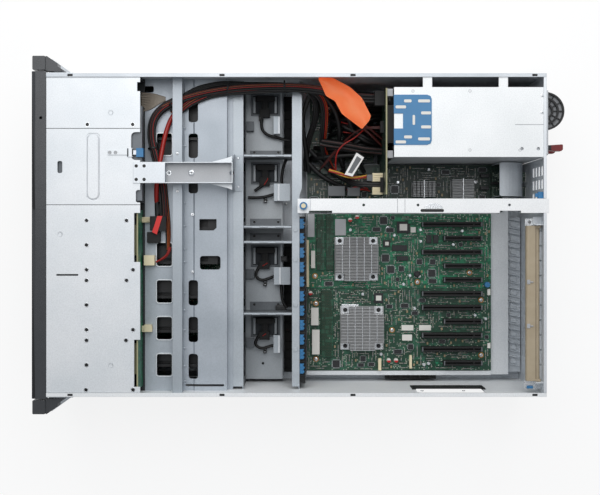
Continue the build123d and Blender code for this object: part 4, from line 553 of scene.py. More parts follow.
# Seat frames: the bright inner lip of each square seat, and black discs as painted shade in the holes in the
# feet of the dividers
lips = ((x + 4.0, x + 28.0, y, y + 3.4, 42.9, 43.6) for x in fan_seats for y in (-67.2, -36.0))
add_piece("seat_lips", drawing(add_cuboid, *lips), floor_sheet, bevel=0.2)
holes = [(px, py) for py in (152.5, 222.0, 236.0, 304.5) for px in (254.3, 278.3)] + [(263.0, 363.3)]
foot_hole = drawing(add_round, (0, 0, -0.6, 0.05, 1.9), sides=14)
set_copies("bay_floor_plugs", foot_hole, at_pixels(holes, bay_floor_z + 1.2), black_oxide_and_shade)
lip_length = 11.2
divider_lips = bmesh.new()
for x in (-112.0, -12.0, 9.4, 110.0):
    for step in range(6):
        y = -77.5 + step * lip_length
        add_cuboid(divider_lips, x - 0.5, x + 1.5 + 0.5 * (step % 2), y, y + lip_length, 110.8, 111.5)
add_piece("divider_lips", divider_lips, rail_sheet, bevel=0.2)

# Dark patches in the seats as painted shade in their wells, and on each black plug a rounded crossbar with
# ribs and a small pad.
# Ribbed black baffles lie behind the seats, between the bay and the card guides, as a dark fill that stands
# in for the shade in that gap.
seat_well_shade = moulded_plastic("seat_well_shade", "44494e", 0.7, 0.2, shade="393d42")
wells, bars, ribs, pads = bmesh.new(), bmesh.new(), bmesh.new(), bmesh.new()
for x in fan_seats:
    well = rounded_outline(x + 1.5, x + 30.5, -69.0, -30.5, 3.0)
    add_plate(wells, well, bay_floor_z - 0.1, bay_floor_z + 0.4)
    add_plate(bars, rounded_outline(x + 3.6, x + 12.4, -62.8, -35.2, 2.6), 50.0, 53.6)
    for y in [-61.5 + rib * 4.6 for rib in range(6)]:
        add_cuboid(ribs, x + 5.2, x + 10.8, y, y + 1.2, 52.8, 53.5)
    for y in [-53 + rib * 3.2 for rib in range(3)]:
        add_cuboid(ribs, x + 12, x + 22, y, y + 1, 52.9, 53.6)
    add_cuboid(pads, x + 25, x + 33, -56.5, -44.5, 54.8, 55.6)
add_piece("seat_wells", wells, seat_well_shade, "dark_plastic")
add_piece("fan_plug_bars", bars, black_matt, "black_plastic", bevel=0.8)
baffles = bmesh.new()
for x0, x1 in ((-208.0, -113.0), (11.5, 108.0), (112.5, 206.0)):
    add_cuboid(baffles, x0, x1, -22.5, -2.0, 1.2, 7.0)
    for rib in range(7):
        x = x0 + 6 + rib * (x1 - x0 - 12) / 6
        add_cuboid(baffles, x - 0.8, x + 0.8, -21.5, -3.0, 7.0, 10.0)
add_piece("bay_gap_baffles", baffles, black_matt, "black_plastic", bevel=0.3)
add_piece("fan_plug_ribs", ribs, black_matt, "black_plastic")
add_piece("fan_plug_pads", pads, black_matt, "black_plastic")

# Clips on the floor of the bays, each with two bright pins
clip_places = at_pixels([(265.5, 200), (265.2, 283), (265.2, 350)], bay_floor_z)
spans = ((-4.0, 4.0, -0.2, 6.0), (-4.0, -2.4, 6.0, 9.0), (2.4, 4.0, 6.0, 9.0))
lead_clip = drawing(add_cuboid, *((x0, x1, -2.4, 2.4, z0, z1) for x0, x1, z0, z1 in spans))
set_copies("lead_clips", lead_clip, clip_places, black_nylon)
clip_pins = drawing(add_round, *((x, 0, 5.8, 6.6, 0.9) for x in (-2.2, 2.2)), sides=10)
set_copies("lead_clip_pins", clip_pins, clip_places, polished_steel_and_highlight)
floor_screws = at_pixels([(286, py) for py in (95.5, 118, 139.5, 204, 249, 330, 357)], 1.3)
set_screws("bay_floor_screws", floor_screws, 2.6, polished_steel_and_highlight)
housing_top = 51.0
housings = bmesh.new()
for px, py, length in ((284, 259, 9.0), (281, 308, 16.0), (261, 118, 7.0), (265, 181, 7.0)):
    x, y = seen_at(px, py, 52.0)
    half = length / 2
    add_cuboid(housings, x - 4, x + 4, y - half, y + half, bay_floor_z - 0.1, housing_top)
    add_cuboid(housings, x - 2.6, x + 2.6, y - half + 1, y + half - 1, housing_top, housing_top + 1.4)
slate_nylon = moulded_plastic("slate_nylon", "1b1c1e", 0.35, shade="242628")
add_piece("bay_housings", housings, slate_nylon, "black_plastic", bevel=0.4)

# Card guides at the fan cage: black ribs and blue catches, all nylon mouldings.
# Each catch has two grip pads and a round button on its top.
blue_nylon = moulded_plastic("blue_nylon", "3a80b4", 0.4, shade="2f6d9c")
coat(blue_nylon, "cross_bar_screw", "cross_bar_latch", "card_clips")
ribs = drawing(add_cuboid, *((x, x + 1.6, 1.5, 8.6, 107.8, 109.3) for x in range(-23, 217, 10)))
add_piece("guide_ribs", ribs, slate_nylon, "black_plastic")
slot_centres = [-15.7 + 20.32 * index for index in range(11)]
grips = bmesh.new()
for x in slot_centres:
    add_cuboid(grips, x - 6, x - 2.5, 2.0, 5.0, 112.9, 113.7)
    add_cuboid(grips, x + 2.5, x + 6, 2.0, 5.0, 112.9, 113.7)
    add_round(grips, x, 3.6, 112.9, 113.9, 1.4, sides=12)
add_piece("card_clip_grips", grips, blue_nylon, "blue_plastic")


# Boards: green solder mask over glass fibre, with tinned pads and printed copper tracks.
# The mask is glossy and the tracks show through as lighter green lines; pads are pale tin.
# Chips, capacitors and connectors stand on them as a machine would place them.
def circuit_board(name, mask, track, pad, pad_share):
    """Printed board with tracks, small dark and pale parts, and a glossy green mask."""
    material, tree, shader, place = new_material(name)
    cell_net = {"Vector": place, "Scale": 150.0, "Randomness": 0.6}
    cells = add_node(tree, "ShaderNodeTexVoronoi", cell_net, distance="CHEBYCHEV", feature="F2")
    line_range = {"Value": cells.outputs["Distance"], "From Min": 0.62, "From Max": 0.66, "To Max": 0.8}
    lines = add_node(tree, "ShaderNodeMapRange", line_range)
    tones = {0: lines.outputs["Result"], 6: linear(mask), 7: linear(track)}
    tracks = add_node(tree, "ShaderNodeMix", tones, data_type="RGBA")
    spot_net = {"Vector": place, "Scale": 430.0, "Randomness": 0.35}
    spots = add_node(tree, "ShaderNodeTexVoronoi", spot_net, distance="CHEBYCHEV")
    zones = add_node(tree, "ShaderNodeTexNoise", {"Vector": place, "Scale": 42.0, "Detail": 3.0})
    zone_range = {"Value": zones.outputs["Fac"], "From Min": pad_share - 0.08, "From Max": pad_share + 0.02}
    busy = add_node(tree, "ShaderNodeMapRange", zone_range)
    small = add_node(tree, "ShaderNodeMath", {0: spots.outputs["Distance"], 1: 0.3}, operation="LESS_THAN")
    kinds = add_node(tree, "ShaderNodeSeparateColor", {"Color": spots.outputs["Color"]})
    pale = add_node(tree, "ShaderNodeMath", {0: kinds.outputs[0], 1: 0.42}, operation="GREATER_THAN")
    tones = {0: pale.outputs[0], 6: linear("14181a"), 7: linear(pad)}
    part_tone = add_node(tree, "ShaderNodeMix", tones, data_type="RGBA")
    pair = {0: busy.outputs["Result"], 1: small.outputs[0]}
    pads = add_node(tree, "ShaderNodeMath", pair, operation="MULTIPLY")
    tones = {0: pads.outputs[0], 6: tracks.outputs[2], 7: part_tone.outputs[2]}
    face = add_node(tree, "ShaderNodeMix", tones, data_type="RGBA")
    relief = {"Height": lines.outputs["Result"], "Strength": 0.2, "Distance": 0.0001}
    bump = add_node(tree, "ShaderNodeBump", relief)
    fill(shader, {"Base Color": face.outputs[2], "Roughness": 0.38, "Normal": bump.outputs["Normal"]})
    return material


upper_mask = circuit_board("green_solder_mask", "0b5a3d", "1f8a60", "b8c2b2", 0.47)
lower_mask = circuit_board("dark_green_solder_mask", "17422f", "2d654d", "b4baab", 0.46)
side_mask = circuit_board("black_green_solder_mask", "0e2a20", "1b4030", "8d9488", 0.56)
board_edge = moulded_plastic("bare_glass_fibre_edge", "a9a684", 0.6, shade="96936f")
coat(side_mask, "system_board", "psu_backplane")
coat(upper_mask, "drive_backplane", "processor_board")
coat(lower_mask, "io_boards")
board_seam_x = 79.3
coat_part(upper_mask, "io_boards", lambda at, way: at.x < board_seam_x)
coat_part(board_edge, "drive_backplane", lambda at, way: way.z > 0.8)
backplane_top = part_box("psu_backplane")[1][2] * 1000
coat_part(black_nylon, "psu_backplane", lambda at, way: at.y < 117.4 or at.y > 119.6)
coat_part(board_edge, "psu_backplane", lambda at, way: way.z > 0.8 and at.z > backplane_top - 0.5)
# The tray's steel is given a paler tone as painted light, against the shade it lies in.
tray_sheet = plated_sheet("zinc_plated_steel_tray", "e2e5e8", "d6dade", 0.45, 0.3)
coat(tray_sheet, "io_tray")
fin_aluminium = plated_sheet("extruded_aluminium", "b9babb", "acadae", 0.42, 0.3)
coat(fin_aluminium, "processor_heatsinks")
tin = plated_sheet("tinned_copper", "cfd2d4", "bfc3c6", 0.35, 0.6)
ceramic = moulded_plastic("fired_ceramic", "a89676", 0.5, 0.05, shade="8f7f63")
chip_epoxy = moulded_plastic("black_chip_epoxy", "1a1b1d", 0.42, 0.2, shade="232427")
label_paper = moulded_plastic("blank_label_paper", "eceae4", 0.6, 0.05, shade="dfddd6")
cream_nylon = moulded_plastic("cream_nylon", "efe3c2", 0.45, shade="e0d3b0")
board_z, power_board_z, drawer_board_z = 38.5, 36.1, 12.4


def free_place(chance, area, taken, half_x, half_y):
    """Finds a free rectangle of a board and marks it as taken."""
    for _ in range(80):
        x = chance.uniform(area[0] + half_x, area[1] - half_x)
        y = chance.uniform(area[2] + half_y, area[3] - half_y)
        box = (x - half_x, x + half_x, y - half_y, y + half_y)
        if all(box[1] < t[0] or box[0] > t[1] or box[3] < t[2] or box[2] > t[3] for t in taken):
            taken.append(box)
            return x, y
    return None


def populate(name, seed, area, taken, z, counts, body="chassis"):
    """Stands chips, cans, blocks and rows of small parts on the free places of a board."""
    chance = random.Random(seed)
    chips, cans, blocks, smalls = [], [], [], []
    for _ in range(counts[0]):
        grow = chance.choice(((1, 1), (1.5, 1.5), (1, 1.7), (2.1, 2.1), (1.2, 2.2)))
        spot = free_place(chance, area, taken, 3.4 * grow[0], 3.4 * grow[1])
        if spot:
            chips.append((*spot, z, 0.0, (*grow, 1)))
    for places, count, half_x, half_y in ((cans, counts[1], 2.6, 2.6), (blocks, counts[2], 2.2, 1.6)):
        spots = [free_place(chance, area, taken, half_x, half_y) for _ in range(count)]
        places += [(*spot, z) for spot in spots if spot]
    for _ in range(counts[3]):
        length = chance.randint(2, 7)
        along_x = chance.random() < 0.5
        half_x, half_y = (1.3 * length, 1.4) if along_x else (1.4, 1.3 * length)
        spot = free_place(chance, area, taken, half_x, half_y)
        for step in range(length if spot else 0):
            shift = (step - (length - 1) / 2) * 2.5
            if along_x:
                smalls.append((spot[0] + shift, spot[1], z, 0.0))
            else:
                smalls.append((spot[0], spot[1] + shift, z, math.pi / 2))
    leads = bmesh.new()
    for middle in [-2.0 + lead * 0.8 for lead in range(6)]:
        for near, far in ((-3.2, -2.35), (2.35, 3.2)):
            add_cuboid(leads, near, far, middle - 0.2, middle + 0.2, -0.05, 0.6)
            add_cuboid(leads, middle - 0.2, middle + 0.2, near, far, -0.05, 0.6)
    middle = (-0.5, 0.5, -0.55, 0.55, -0.05, 0.85)
    ends = ((-1.0, -0.5, -0.6, 0.6, -0.05, 0.95), (0.5, 1.0, -0.6, 0.6, -0.05, 0.95))
    can = drawing(add_round, (0, 0, -0.05, 1.0, 2.4), (0, 0, 1.0, 5.6, 2.1, 1.95), sides=16)
    chip = drawing(add_cuboid, (-2.4, 2.4, -2.4, 2.4, 0.2, 1.7))
    tantalum = drawing(add_cuboid, (-1.8, 1.8, -1.2, 1.2, -0.05, 1.9))
    pale = [place for index, place in enumerate(smalls) if index % 3]
    for suffix, part, places, material, slot in (
        ("_chips", chip, chips, chip_epoxy, "black_plastic"),
        ("_chip_leads", leads, chips, tin, "green_board"),
        ("_cans", can, cans, polished_steel_and_highlight, "green_board"),
        ("_blocks", tantalum, blocks, ceramic, "green_board"),
        ("_part_ends", drawing(add_cuboid, *ends), smalls, tin, "green_board"),
        ("_resistors", drawing(add_cuboid, middle), smalls[::3], chip_epoxy, "green_board"),
        ("_capacitors", drawing(add_cuboid, middle), pale, ceramic, "green_board"),
    ):
        set_copies(name + suffix, part, places, material, body)


# Sinks and slots of the slot boards, whose places stay free of small parts
sink_side = 64.0
large_sinks = ((3.0, 52.4, sink_side, sink_side, 6), (104.5, 60.4, sink_side, sink_side, 6))
slots = [(x, 180.0 if index in (0, 2, 5, 6, 8, 9) else 212.0) for index, x in enumerate(slot_centres)]
taken = [(x - 5, x + 5, start - 2, 270.5) for x, start in slots]
taken += [(x - 1, x + sink_side + 1, y - 1, y + sink_side + 1) for x, y, *size in large_sinks]
fixed_blocks = {
    "chip": [(396.8, 409.8, 221.5, 233.0, 2.2), (383.0, 390.0, 240.0, 247.0, 1.8)],
    "slate": [(396.5, 407.8, 256.0, 260.5, 5.0), (426.0, 431.0, 235.0, 243.0, 4.0)],
    "label": [(329.0, 333.0, 237.0, 242.0, 4.0), (410.5, 415.7, 227.0, 232.5, 1.2)],
    "grey": [(307.5, 314.5, 214.0, 237.0, 0.5), (335.0, 346.0, 219.0, 235.5, 0.5)],
    "cream": [(378.0, 381.0, 358.0, 370.0, 6.0), (409.0, 411.5, 355.0, 368.0, 6.0)],
    "green": [(435.0, 440.0, 361.0, 366.0, 3.0)],
    "steel": [(341.5, 358.5, 304.0, 307.0, 2.0)],
}
fixed_blocks["chip"] += [(392.0, 407.0, 245.0, 251.0, 2.0), (374.0, 383.0, 293.0, 303.0, 2.0)]
fixed_blocks["slate"] += [(433.0, 438.0, 235.0, 243.0, 4.0)]
fixed_blocks["label"] += [(311.0, 315.0, 250.5, 268.0, 8.0), (311.0, 318.5, 307.5, 325.0, 6.0)]
fixed_blocks["label"] += [(312.0, 319.5, 329.5, 354.0, 6.0), (401.5, 413.5, 325.0, 330.5, 0.4)]
fixed_blocks["label"] += [(419.0, 431.0, 325.0, 330.5, 0.4), (402.0, 412.0, 334.5, 340.5, 1.4)]
fixed_blocks["label"] += [(487.0, 490.0, 289.0, 295.0, 4.0), (487.0, 490.0, 343.0, 348.0, 4.0)]
fixed_blocks["cream"] += [(306.5, 309.0, 240.0, 287.0, 1.0)]
block_finish = {
    "chip": (chip_epoxy, "black_plastic"),
    "slate": (slate_nylon, "black_plastic"),
    "label": (label_paper, "cream_plastic"),
    "grey": (channel_sheet, "plated_steel"),
    "cream": (cream_nylon, "cream_plastic"),
    "green": (upper_mask, "green_board"),
    "steel": (polished_steel_and_highlight, "plated_steel"),
}
for kind, blocks in fixed_blocks.items():
    bm = bmesh.new()
    for *pixels, height in blocks:
        x0, x1, y0, y1 = seen_box(*pixels, board_z)
        add_cuboid(bm, x0, x1, y0, y1, board_z - 0.1, board_z + height)
        taken.append((x0 - 1, x1 + 1, y0 - 1, y1 + 1))
    add_piece("board_" + kind + "_blocks", bm, *block_finish[kind], bevel=0.25)
labels = ((399.5, 407.0, 224.0, 230.5), (375.8, 381.2, 295.5, 300.5), (385.0, 388.6, 241.8, 245.4))
boxes = ((*seen_box(*pixels, board_z), board_z + 1.7, board_z + 2.4) for pixels in labels)
add_piece("board_chip_labels", drawing(add_cuboid, *boxes), label_paper, "cream_plastic")

# Pin fields where the boards meet the midplane: rows of dull gold pins in green blocks
field_top = board_z + 5.0
pin_places = []
pin_bases = bmesh.new()
for pixels in ((316.5, 324.5, 214, 270), (326, 333.5, 214, 270), (321, 333, 290, 357)):
    x0, x1, y0, y1 = seen_box(*pixels, board_z)
    add_cuboid(pin_bases, x0, x1, y0, y1, board_z - 0.1, field_top)
    taken.append((x0 - 1, x1 + 1, y0 - 1, y1 + 1))
    for row in range(int((x1 - x0) / 2.2)):
        for column in range(int((y1 - y0) / 2.0)):
            pin_places.append((x0 + 1.3 + row * 2.2, y0 + 1.2 + column * 2.0, field_top))
add_piece("pin_field_bases", pin_bases, lower_mask, "green_board", bevel=0.3)
dull_pin = plated_sheet("dull_gold_pin", "6b4630", "553626", 0.35, 0.4)
pin = drawing(add_cuboid, (-0.3, 0.3, -0.3, 0.3, -0.1, 1.6))
set_copies("pin_field_pins", pin, pin_places, dull_pin)

# Copper-ringed mounting screws, capped posts, a round sounder and the one blue thumbscrew
rings = [(417.4, 282), (469.5, 272.7), (315, 276), (316, 303.5), (392, 330)]
rings += [(481, 300), (481, 355), (316, 359)]
ring_places = at_pixels(rings, board_z)
copper_ring = drawing(add_ring, (0, 0, -0.05, 0.15, 2.6, 4.2), sides=18)
copper = plated_sheet("bare_copper", "b98a4a", "9c6b3a", 0.35, 0.6)
set_copies("mount_rings", copper_ring, ring_places, copper)
set_screws("mount_screws", ring_places + at_pixels([(387.8, 227.7)], board_z), 2.7, polished_steel_and_highlight)
cap_places = at_pixels([(350, 220), (357, 217), (310.5, 293), (388.5, 360), (395.8, 360)], board_z)
post = drawing(add_round, (0, 0, -0.1, 6.0, 3.2, 3.0), sides=14)
set_copies("board_posts", post, cap_places, label_paper)
bright_red = moulded_plastic("bright_red_nylon", "c81d1d", 0.4, shade="b01818")
half_disc = [(-0.1, -3.0), (2.0, -2.4), (3.1, 0.0), (2.0, 2.4), (-0.1, 3.0)]
post_cap = drawing(add_plate, (half_disc, 5.9, 7.0))
set_copies("board_post_caps", post_cap, cap_places, bright_red)
x, y = seen_at(416.8, 274, board_z)
can, lid = (x, y, board_z - 0.1, board_z + 6, 4.6), (x, y, board_z + 6, board_z + 7, 4.0, 3.0)
add_piece("board_sounder", drawing(add_round, can, lid, sides=24), chip_epoxy, "black_plastic")
thumb = (*seen_at(486.5, 284.5, board_z), board_z - 0.1, board_z + 9, 4.2, 3.9)
add_piece("board_thumbscrew", drawing(add_round, thumb, sides=18), blue_nylon, "blue_plastic", bevel=0.4)
taken += [(x - 5, x + 5, y - 5, y + 5) for x, y, z in ring_places + cap_places]
populate("upper_board", 11, (-30, 78.5, 13, 282), taken, board_z, (14, 9, 26, 230))
populate("lower_board", 23, (80.5, 198.5, 13, 282), taken, board_z, (13, 7, 22, 220))

# Expansion slots: black nylon bodies with two rows of contacts in a groove and grey end latches.
# The nylon is matt and the contacts are dark, so the slots look nearly black from above.
slot_nylon = moulded_plastic("black_slot_nylon", "060607", 0.5, 0.1, shade="0a0a0b")
coat(slot_nylon, "expansion_slots")
slot_top, contact_pitch = 49.7, 1.6
contacts, latches = [], []
for x, start in slots:
    steps = range(int((268.6 - start - 6) / contact_pitch))
    contacts += [(x, start + 3 + step * contact_pitch, slot_top) for step in steps]
    latches += [(x, start + 1.0, slot_top), (x, 267.6, slot_top)]
dark_contact = plated_sheet("dark_slot_contact", "2b2823", "221f1b", 0.5, 0.5)
contact = drawing(add_cuboid, *((x, x + 0.5, -0.35, 0.35, -2.0, 0.15) for x in (-1.5, 1.0)))
set_copies("slot_contacts", contact, contacts, dark_contact)
grey_nylon = moulded_plastic("grey_nylon", "6a6d70", 0.5, shade="5b5e61")
latch = drawing(add_cuboid, (-3.3, 3.3, -1.0, 1.0, -3.0, 0.6))
set_copies("slot_end_latches", latch, latches, grey_nylon)

# Heatsinks: cross-cut aluminium over the bridge chips, held by sprung push-pins.
# The cut corners leave a bright milled floor around each black pin.
sink_floor_z, sink_top_z = 42.5, 58.5
fin_width, fin_pitch, cut_width, corner_x, corner_y = 1.15, 2.1, 1.1, 11.4, 14.0
small_sinks = ((-78.0, 165.5, 22.0, 33.8, 6), (-80.8, 222.7, 26.0, 33.0, 1))
sink_bases, strips, clips = bmesh.new(), bmesh.new(), bmesh.new()
fin_places = []
for x, y, width, length, columns in large_sinks + small_sinks:
    add_cuboid(sink_bases, x, x + width, y, y + length, board_z - 0.1, sink_floor_z)
    pitch = length / columns
    corner = corner_x if width == sink_side else 0.0
    for column in range(1, columns if corner else 1):
        inset = corner if column in (1, columns - 1) else 0.0
        middle = y + column * pitch
        strip = (x + inset, x + width - inset, middle - 0.5, middle + 0.5)
        add_cuboid(strips, *strip, sink_floor_z - 0.1, sink_top_z - 0.2)
    gaps = int((width - fin_width) / fin_pitch)
    for fin in range(gaps + 1):
        fin_x = x + fin_width / 2 + fin * (width - fin_width) / gaps
        by_corner = fin_x < x + corner or fin_x > x + width - corner
        for column in range(columns):
            low_y = y + column * pitch + cut_width / 2
            high_y = low_y + pitch - cut_width
            if by_corner:
                low_y, high_y = max(low_y, y + corner_y), min(high_y, y + length - corner_y)
            if high_y - low_y > 2:
                fin_places.append((fin_x, (low_y + high_y) / 2, sink_floor_z, 0.0, (1, high_y - low_y, 1)))
one_fin = drawing(add_cuboid, (-fin_width / 2, fin_width / 2, -0.5, 0.5, -0.1, sink_top_z - sink_floor_z))
set_copies("sink_fins", one_fin, fin_places, fin_aluminium)
add_piece("sink_bases", sink_bases, fin_aluminium, "sink_aluminium", bevel=0.3, replaces=("board_heatsinks",))
add_piece("sink_column_strips", strips, polished_steel_and_highlight, "sink_aluminium")
floors = bmesh.new()
push_pins = []
for sink_x, sink_y, *size in large_sinks:
    for x in (sink_x + 5.5, sink_x + 58.5):
        for y in (sink_y + 7.5, sink_y + 56.5):
            push_pins.append((x, y, sink_floor_z))
            y0, y1 = max(sink_y, y - 6.0), min(sink_y + sink_side, y + 6.0)
            add_cuboid(floors, x - 5.2, x + 5.2, y0, y1, sink_floor_z - 0.2, sink_floor_z + 0.5)
add_piece("sink_corner_floors", floors, polished_steel_and_highlight, "sink_aluminium")
push_pin = drawing(add_round, (0, 0, -1.0, 2.5, 3.2, 3.0), (0, 0, 2.5, 4.0, 2.2, 1.6), sides=16)
set_copies("sink_push_pins", push_pin, push_pins, chip_epoxy)
for x, y, width, length, columns in small_sinks:
    y0, y1 = y + length / 2 - 0.5, y + length / 2 + 0.5
    add_cuboid(clips, x - 2, x + width + 2, y0, y1, sink_top_z + 0.1, sink_top_z + 0.9)
    for side_x in (x - 2, x + width + 1.2):
        add_cuboid(clips, side_x, side_x + 0.8, y0, y1, board_z, sink_top_z + 0.2)
add_piece("small_sink_clips", clips, polished_steel_and_highlight)

# Board beside the power supplies, dark power board and what stands on them.
# The board is nearly black-green; its slots, screws and a bent air guide are the bright parts.
side_taken = [(-80, -54, 163, 202), (-83, -52, 220, 258), (-98, -88, 16, 114), (-93, -55, 281, 300)]
housings = bmesh.new()
for px, py, half, height, taken_x, taken_y in (
    (483.7, 176.2, 2.5, 10, 4, 8),
    (483.7, 188.2, 2.5, 10, 4, 8),
    (494.7, 179.5, 7.2, 6, 8, 7),
):
    x, y = seen_at(px, py, board_z)
    add_cuboid(housings, x - half, x + half, y - 6, y + 6, board_z - 0.1, board_z + height)
    side_taken.append((x - taken_x, x + taken_x, y - taken_y, y + taken_y))
add_piece("side_board_housings", housings, chip_epoxy, "black_plastic", bevel=0.4)
screws = [(x, y, board_z + 6), (*seen_at(475.5, 182, board_z), board_z)]
set_screws("side_board_screws", screws, 3.0, polished_steel_and_highlight)
populate("side_board", 37, (-102, -35, 118, 280), side_taken, board_z, (8, 5, 14, 110))
populate("cable_board", 41, (-102, -35, 14, 116), [(-98, -86, 14, 114)], board_z, (5, 1, 10, 60))
populate("power_board", 43, (-205, -109, 18, 108), [], power_board_z, (8, 3, 10, 50))

# Air guide behind the side board: one sheet rolled down toward the rear panel
turns = [math.radians(90 - step * 10) for step in range(9)]
bend_radius, low_edge = 30.0, 99.0
bend = [(292.0 + bend_radius * math.cos(turn), 69.0 + bend_radius * math.sin(turn)) for turn in turns]
profile = [(284.0, low_edge)] + bend
outline = profile + [(y, z - 1.0) for y, z in profile[::-1]]
air_guide = bmesh.new()
rows = [[air_guide.verts.new((x, y, z)) for y, z in outline] for x in (-103.0, -55.0)]
bridge(air_guide, *rows)
last = len(outline) - 1
for row in rows:
    for index in range(len(profile) - 1):
        air_guide.faces.new((row[index], row[index + 1], row[last - 1 - index], row[last - index]))
for x in (-103.0, -56.0):
    add_cuboid(air_guide, x, x + 1.0, 284.0, 286.0, board_z, low_edge)
add_piece("air_guide", air_guide, case_sheet)

# Power supplies: four plated boxes in a bright plated cage at the rear.
# Their handles are black nylon with paler webs, and their catches are dark red.
# A blue nylon guide plate lies over the inner end of the cage, with blank pale pads.
supply_sheet = plated_sheet("supply_case_steel", "c2c6ca", "b3b7bc", 0.38, 0.6)
cage_sheet = plated_sheet("psu_cage_steel", "f6f8f9", "eef1f2", 0.46, 0.2)
handle_web = moulded_plastic("grey_nylon_web", "8f9194", 0.5, shade="7f8184")
red_nylon = moulded_plastic("dark_red_nylon", "7d1a1a", 0.38, shade="5f1113")
coat(cage_sheet, "psu_cage")
# Below its top, the cage takes the grey steel as painted shade.
coat_part(channel_sheet, "psu_cage", lambda at, way: at.z < 168)
handle_y = 336.3
for number in range(1, 5):
    supply = "psu_" + str(number)
    web_z = 21.6 + (4 - number) * 41.8
    coat(supply_sheet, supply)
    coat_part(black_nylon, supply, lambda at, way: at.y > handle_y)
    coat_part(
        handle_web,
        supply,
        lambda at, way: at.y > handle_y and abs(way.z) > 0.9 and web_z - 0.1 < at.z < web_z + 2.1,
    )
    coat(red_nylon, "psu_latch_" + str(number))
cage_top = 171.0
corners = [(393.8, 94.7), (427, 94.7), (430.5, 96), (431.7, 99), (431.7, 140.5), (430.5, 143.6)]
corners += [(427, 144.9), (393.8, 144.9), (393.8, 128.5), (403, 128.5), (403, 113.5), (393.8, 113.5)]
outline = [seen_at(px, py, cage_top) for px, py in corners]
sky_blue = moulded_plastic("sky_blue_nylon", "4583b3", 0.42, shade="3d78a6")
guide_plate = drawing(add_plate, (outline, cage_top, cage_top + 0.8))
add_piece("blue_guide_plate", guide_plate, sky_blue, "blue_plastic")
pads = [(404, 411.5, 99.5, 102.5), (418, 430, 99.5, 102.5), (395.5, 406, 105.5, 108.5)]
pads += [(421, 431, 111.5, 114.5), (412.5, 415, 115, 125), (421, 431, 125.5, 128.5)]
pads += [(404, 412, 135.5, 138.5), (418, 430, 137.5, 140.5), (395.5, 406, 140.5, 143.5)]
outlines = (rounded_outline(*seen_box(*pixels, cage_top), 1.4, 3) for pixels in pads)
pale_pads = drawing(add_plate, *((outline, cage_top + 0.7, cage_top + 1.0) for outline in outlines))
add_piece("guide_plate_pads", pale_pads, label_paper, "cream_plastic")
seam = (*seen_box(515, 545, 124.2, 124.9, cage_top), cage_top - 0.3, cage_top + 0.05)
groove = drawing(add_cuboid, seam)
for pixel in ((413, 91), (470, 91), (470, 150), (520, 150)):
    add_ring(groove, *seen_at(*pixel, cage_top), cage_top - 0.3, cage_top + 0.1, 1.4, 2.0, sides=14)
add_piece("cage_seam", groove, channel_sheet)
set_screws("cage_screws", at_pixels([(542, 95.5), (542, 112.5)], cage_top - 0.4), 2.3, polished_steel_and_highlight)

# Cross bar, its screw and catch, and the card retainer.
# The bar is bright plated channel; catches that the hand works are blue, the retainer is tan.
tan_nylon = moulded_plastic("tan_translucent_nylon", "bcae97", 0.34, shade="a3947b")
bar_sheet = plated_sheet("zinc_plated_steel_bar", "f8f9fa", "f1f3f4", 0.44, 0.2)
coat(bar_sheet, "cross_bar")
coat(tan_nylon, "card_retainer")
bar_top = 172.3
# A black plate in the grip slot of the bar is painted shade.
outline = rounded_outline(*seen_box(420.5, 444.0, 209.0, 212.0, bar_top), 1.8, 4)
grip = drawing(add_plate, (outline, bar_top - 0.6, bar_top + 0.06))
add_piece("bar_grip_slot", grip, black_oxide_and_shade, body="cross_bar")
x, y = seen_at(433.5, 208.6, bar_top)
turns = [math.radians(180 * step / 16) for step in range(17)]
outline = [(x - 7.2 * math.sin(turn), y - 12.4 * math.cos(turn)) for turn in turns]
dome = drawing(add_plate, (outline, bar_top - 0.2, bar_top + 0.12))
add_piece("bar_grip_dome", dome, polished_steel_and_highlight, body="cross_bar")
screw_cap = drawing(add_round, (-39.3, 6.0, bar_top - 0.3, bar_top + 0.15, 3.3, 3.0))
add_piece("bar_screw_cap", screw_cap, cream_nylon, "cream_plastic", "cross_bar_screw")
seam_ys = [seen_at(px, 205, bar_top)[1] for px in (397.5, 405.0)]
seams = ((-48.5, -30.2, y - 0.35, y + 0.35, bar_top - 0.2, bar_top + 0.05) for y in seam_ys)
add_piece("bar_seams", drawing(add_cuboid, *seams), channel_sheet, body="cross_bar")
brown_nylon = moulded_plastic("brown_nylon", "6d5f50", 0.45, shade="5d5144")
rib = drawing(add_cuboid, (-10.0, 196.0, 321.6, 322.4, 156.4, 157.15))
add_piece("retainer_rib", rib, brown_nylon, "tan_plastic", "card_retainer")
springs = bmesh.new()
for x, y, z in at_pixels([(529.5, 282.0), (529.5, 326.0)], 157.0):
    add_cuboid(springs, x - 3.0, x + 3.0, y - 3.5, y + 1.0, z - 0.4, z + 0.9)
    add_cuboid(springs, x - 0.8, x + 0.8, y + 1.0, y + 5.0, z - 0.4, z + 1.6)
add_piece("retainer_springs", springs, channel_sheet, body="card_retainer", bevel=0.3)
receivers = drawing(add_cuboid, (-26.0, 204.0, 310.5, 330.5, 18.0, 19.4))
lips = bmesh.new()
for x in slot_centres:
    fold = [(x - 9.0, 312.0), (x - 7.6, 312.0), (x - 4.0, 329.0), (x - 5.4, 329.0)]
    add_plate(receivers, fold, 19.0, 25.0)
    add_plate(receivers, [(fold_x + 12.4, y) for fold_x, y in fold], 19.0, 23.0)
    add_plate(lips, [(x - 4.4, 315.0), (x + 2.6, 315.0), (x + 4.6, 324.0), (x - 2.4, 324.0)], 19.3, 21.2)
add_piece("card_receivers", receivers, case_sheet, bevel=0.2)
add_piece("card_receiver_lips", lips, case_sheet, bevel=0.3)
ends = ((525, 541, 218.5, 226.0), (524, 541, 380.5, 388.5))
end_plates = drawing(add_cuboid, *((*seen_box(*pixels, 148.0), 146.5, 147.7) for pixels in ends))
add_piece("retainer_end_plates", end_plates, polished_steel_and_highlight, bevel=0.3)
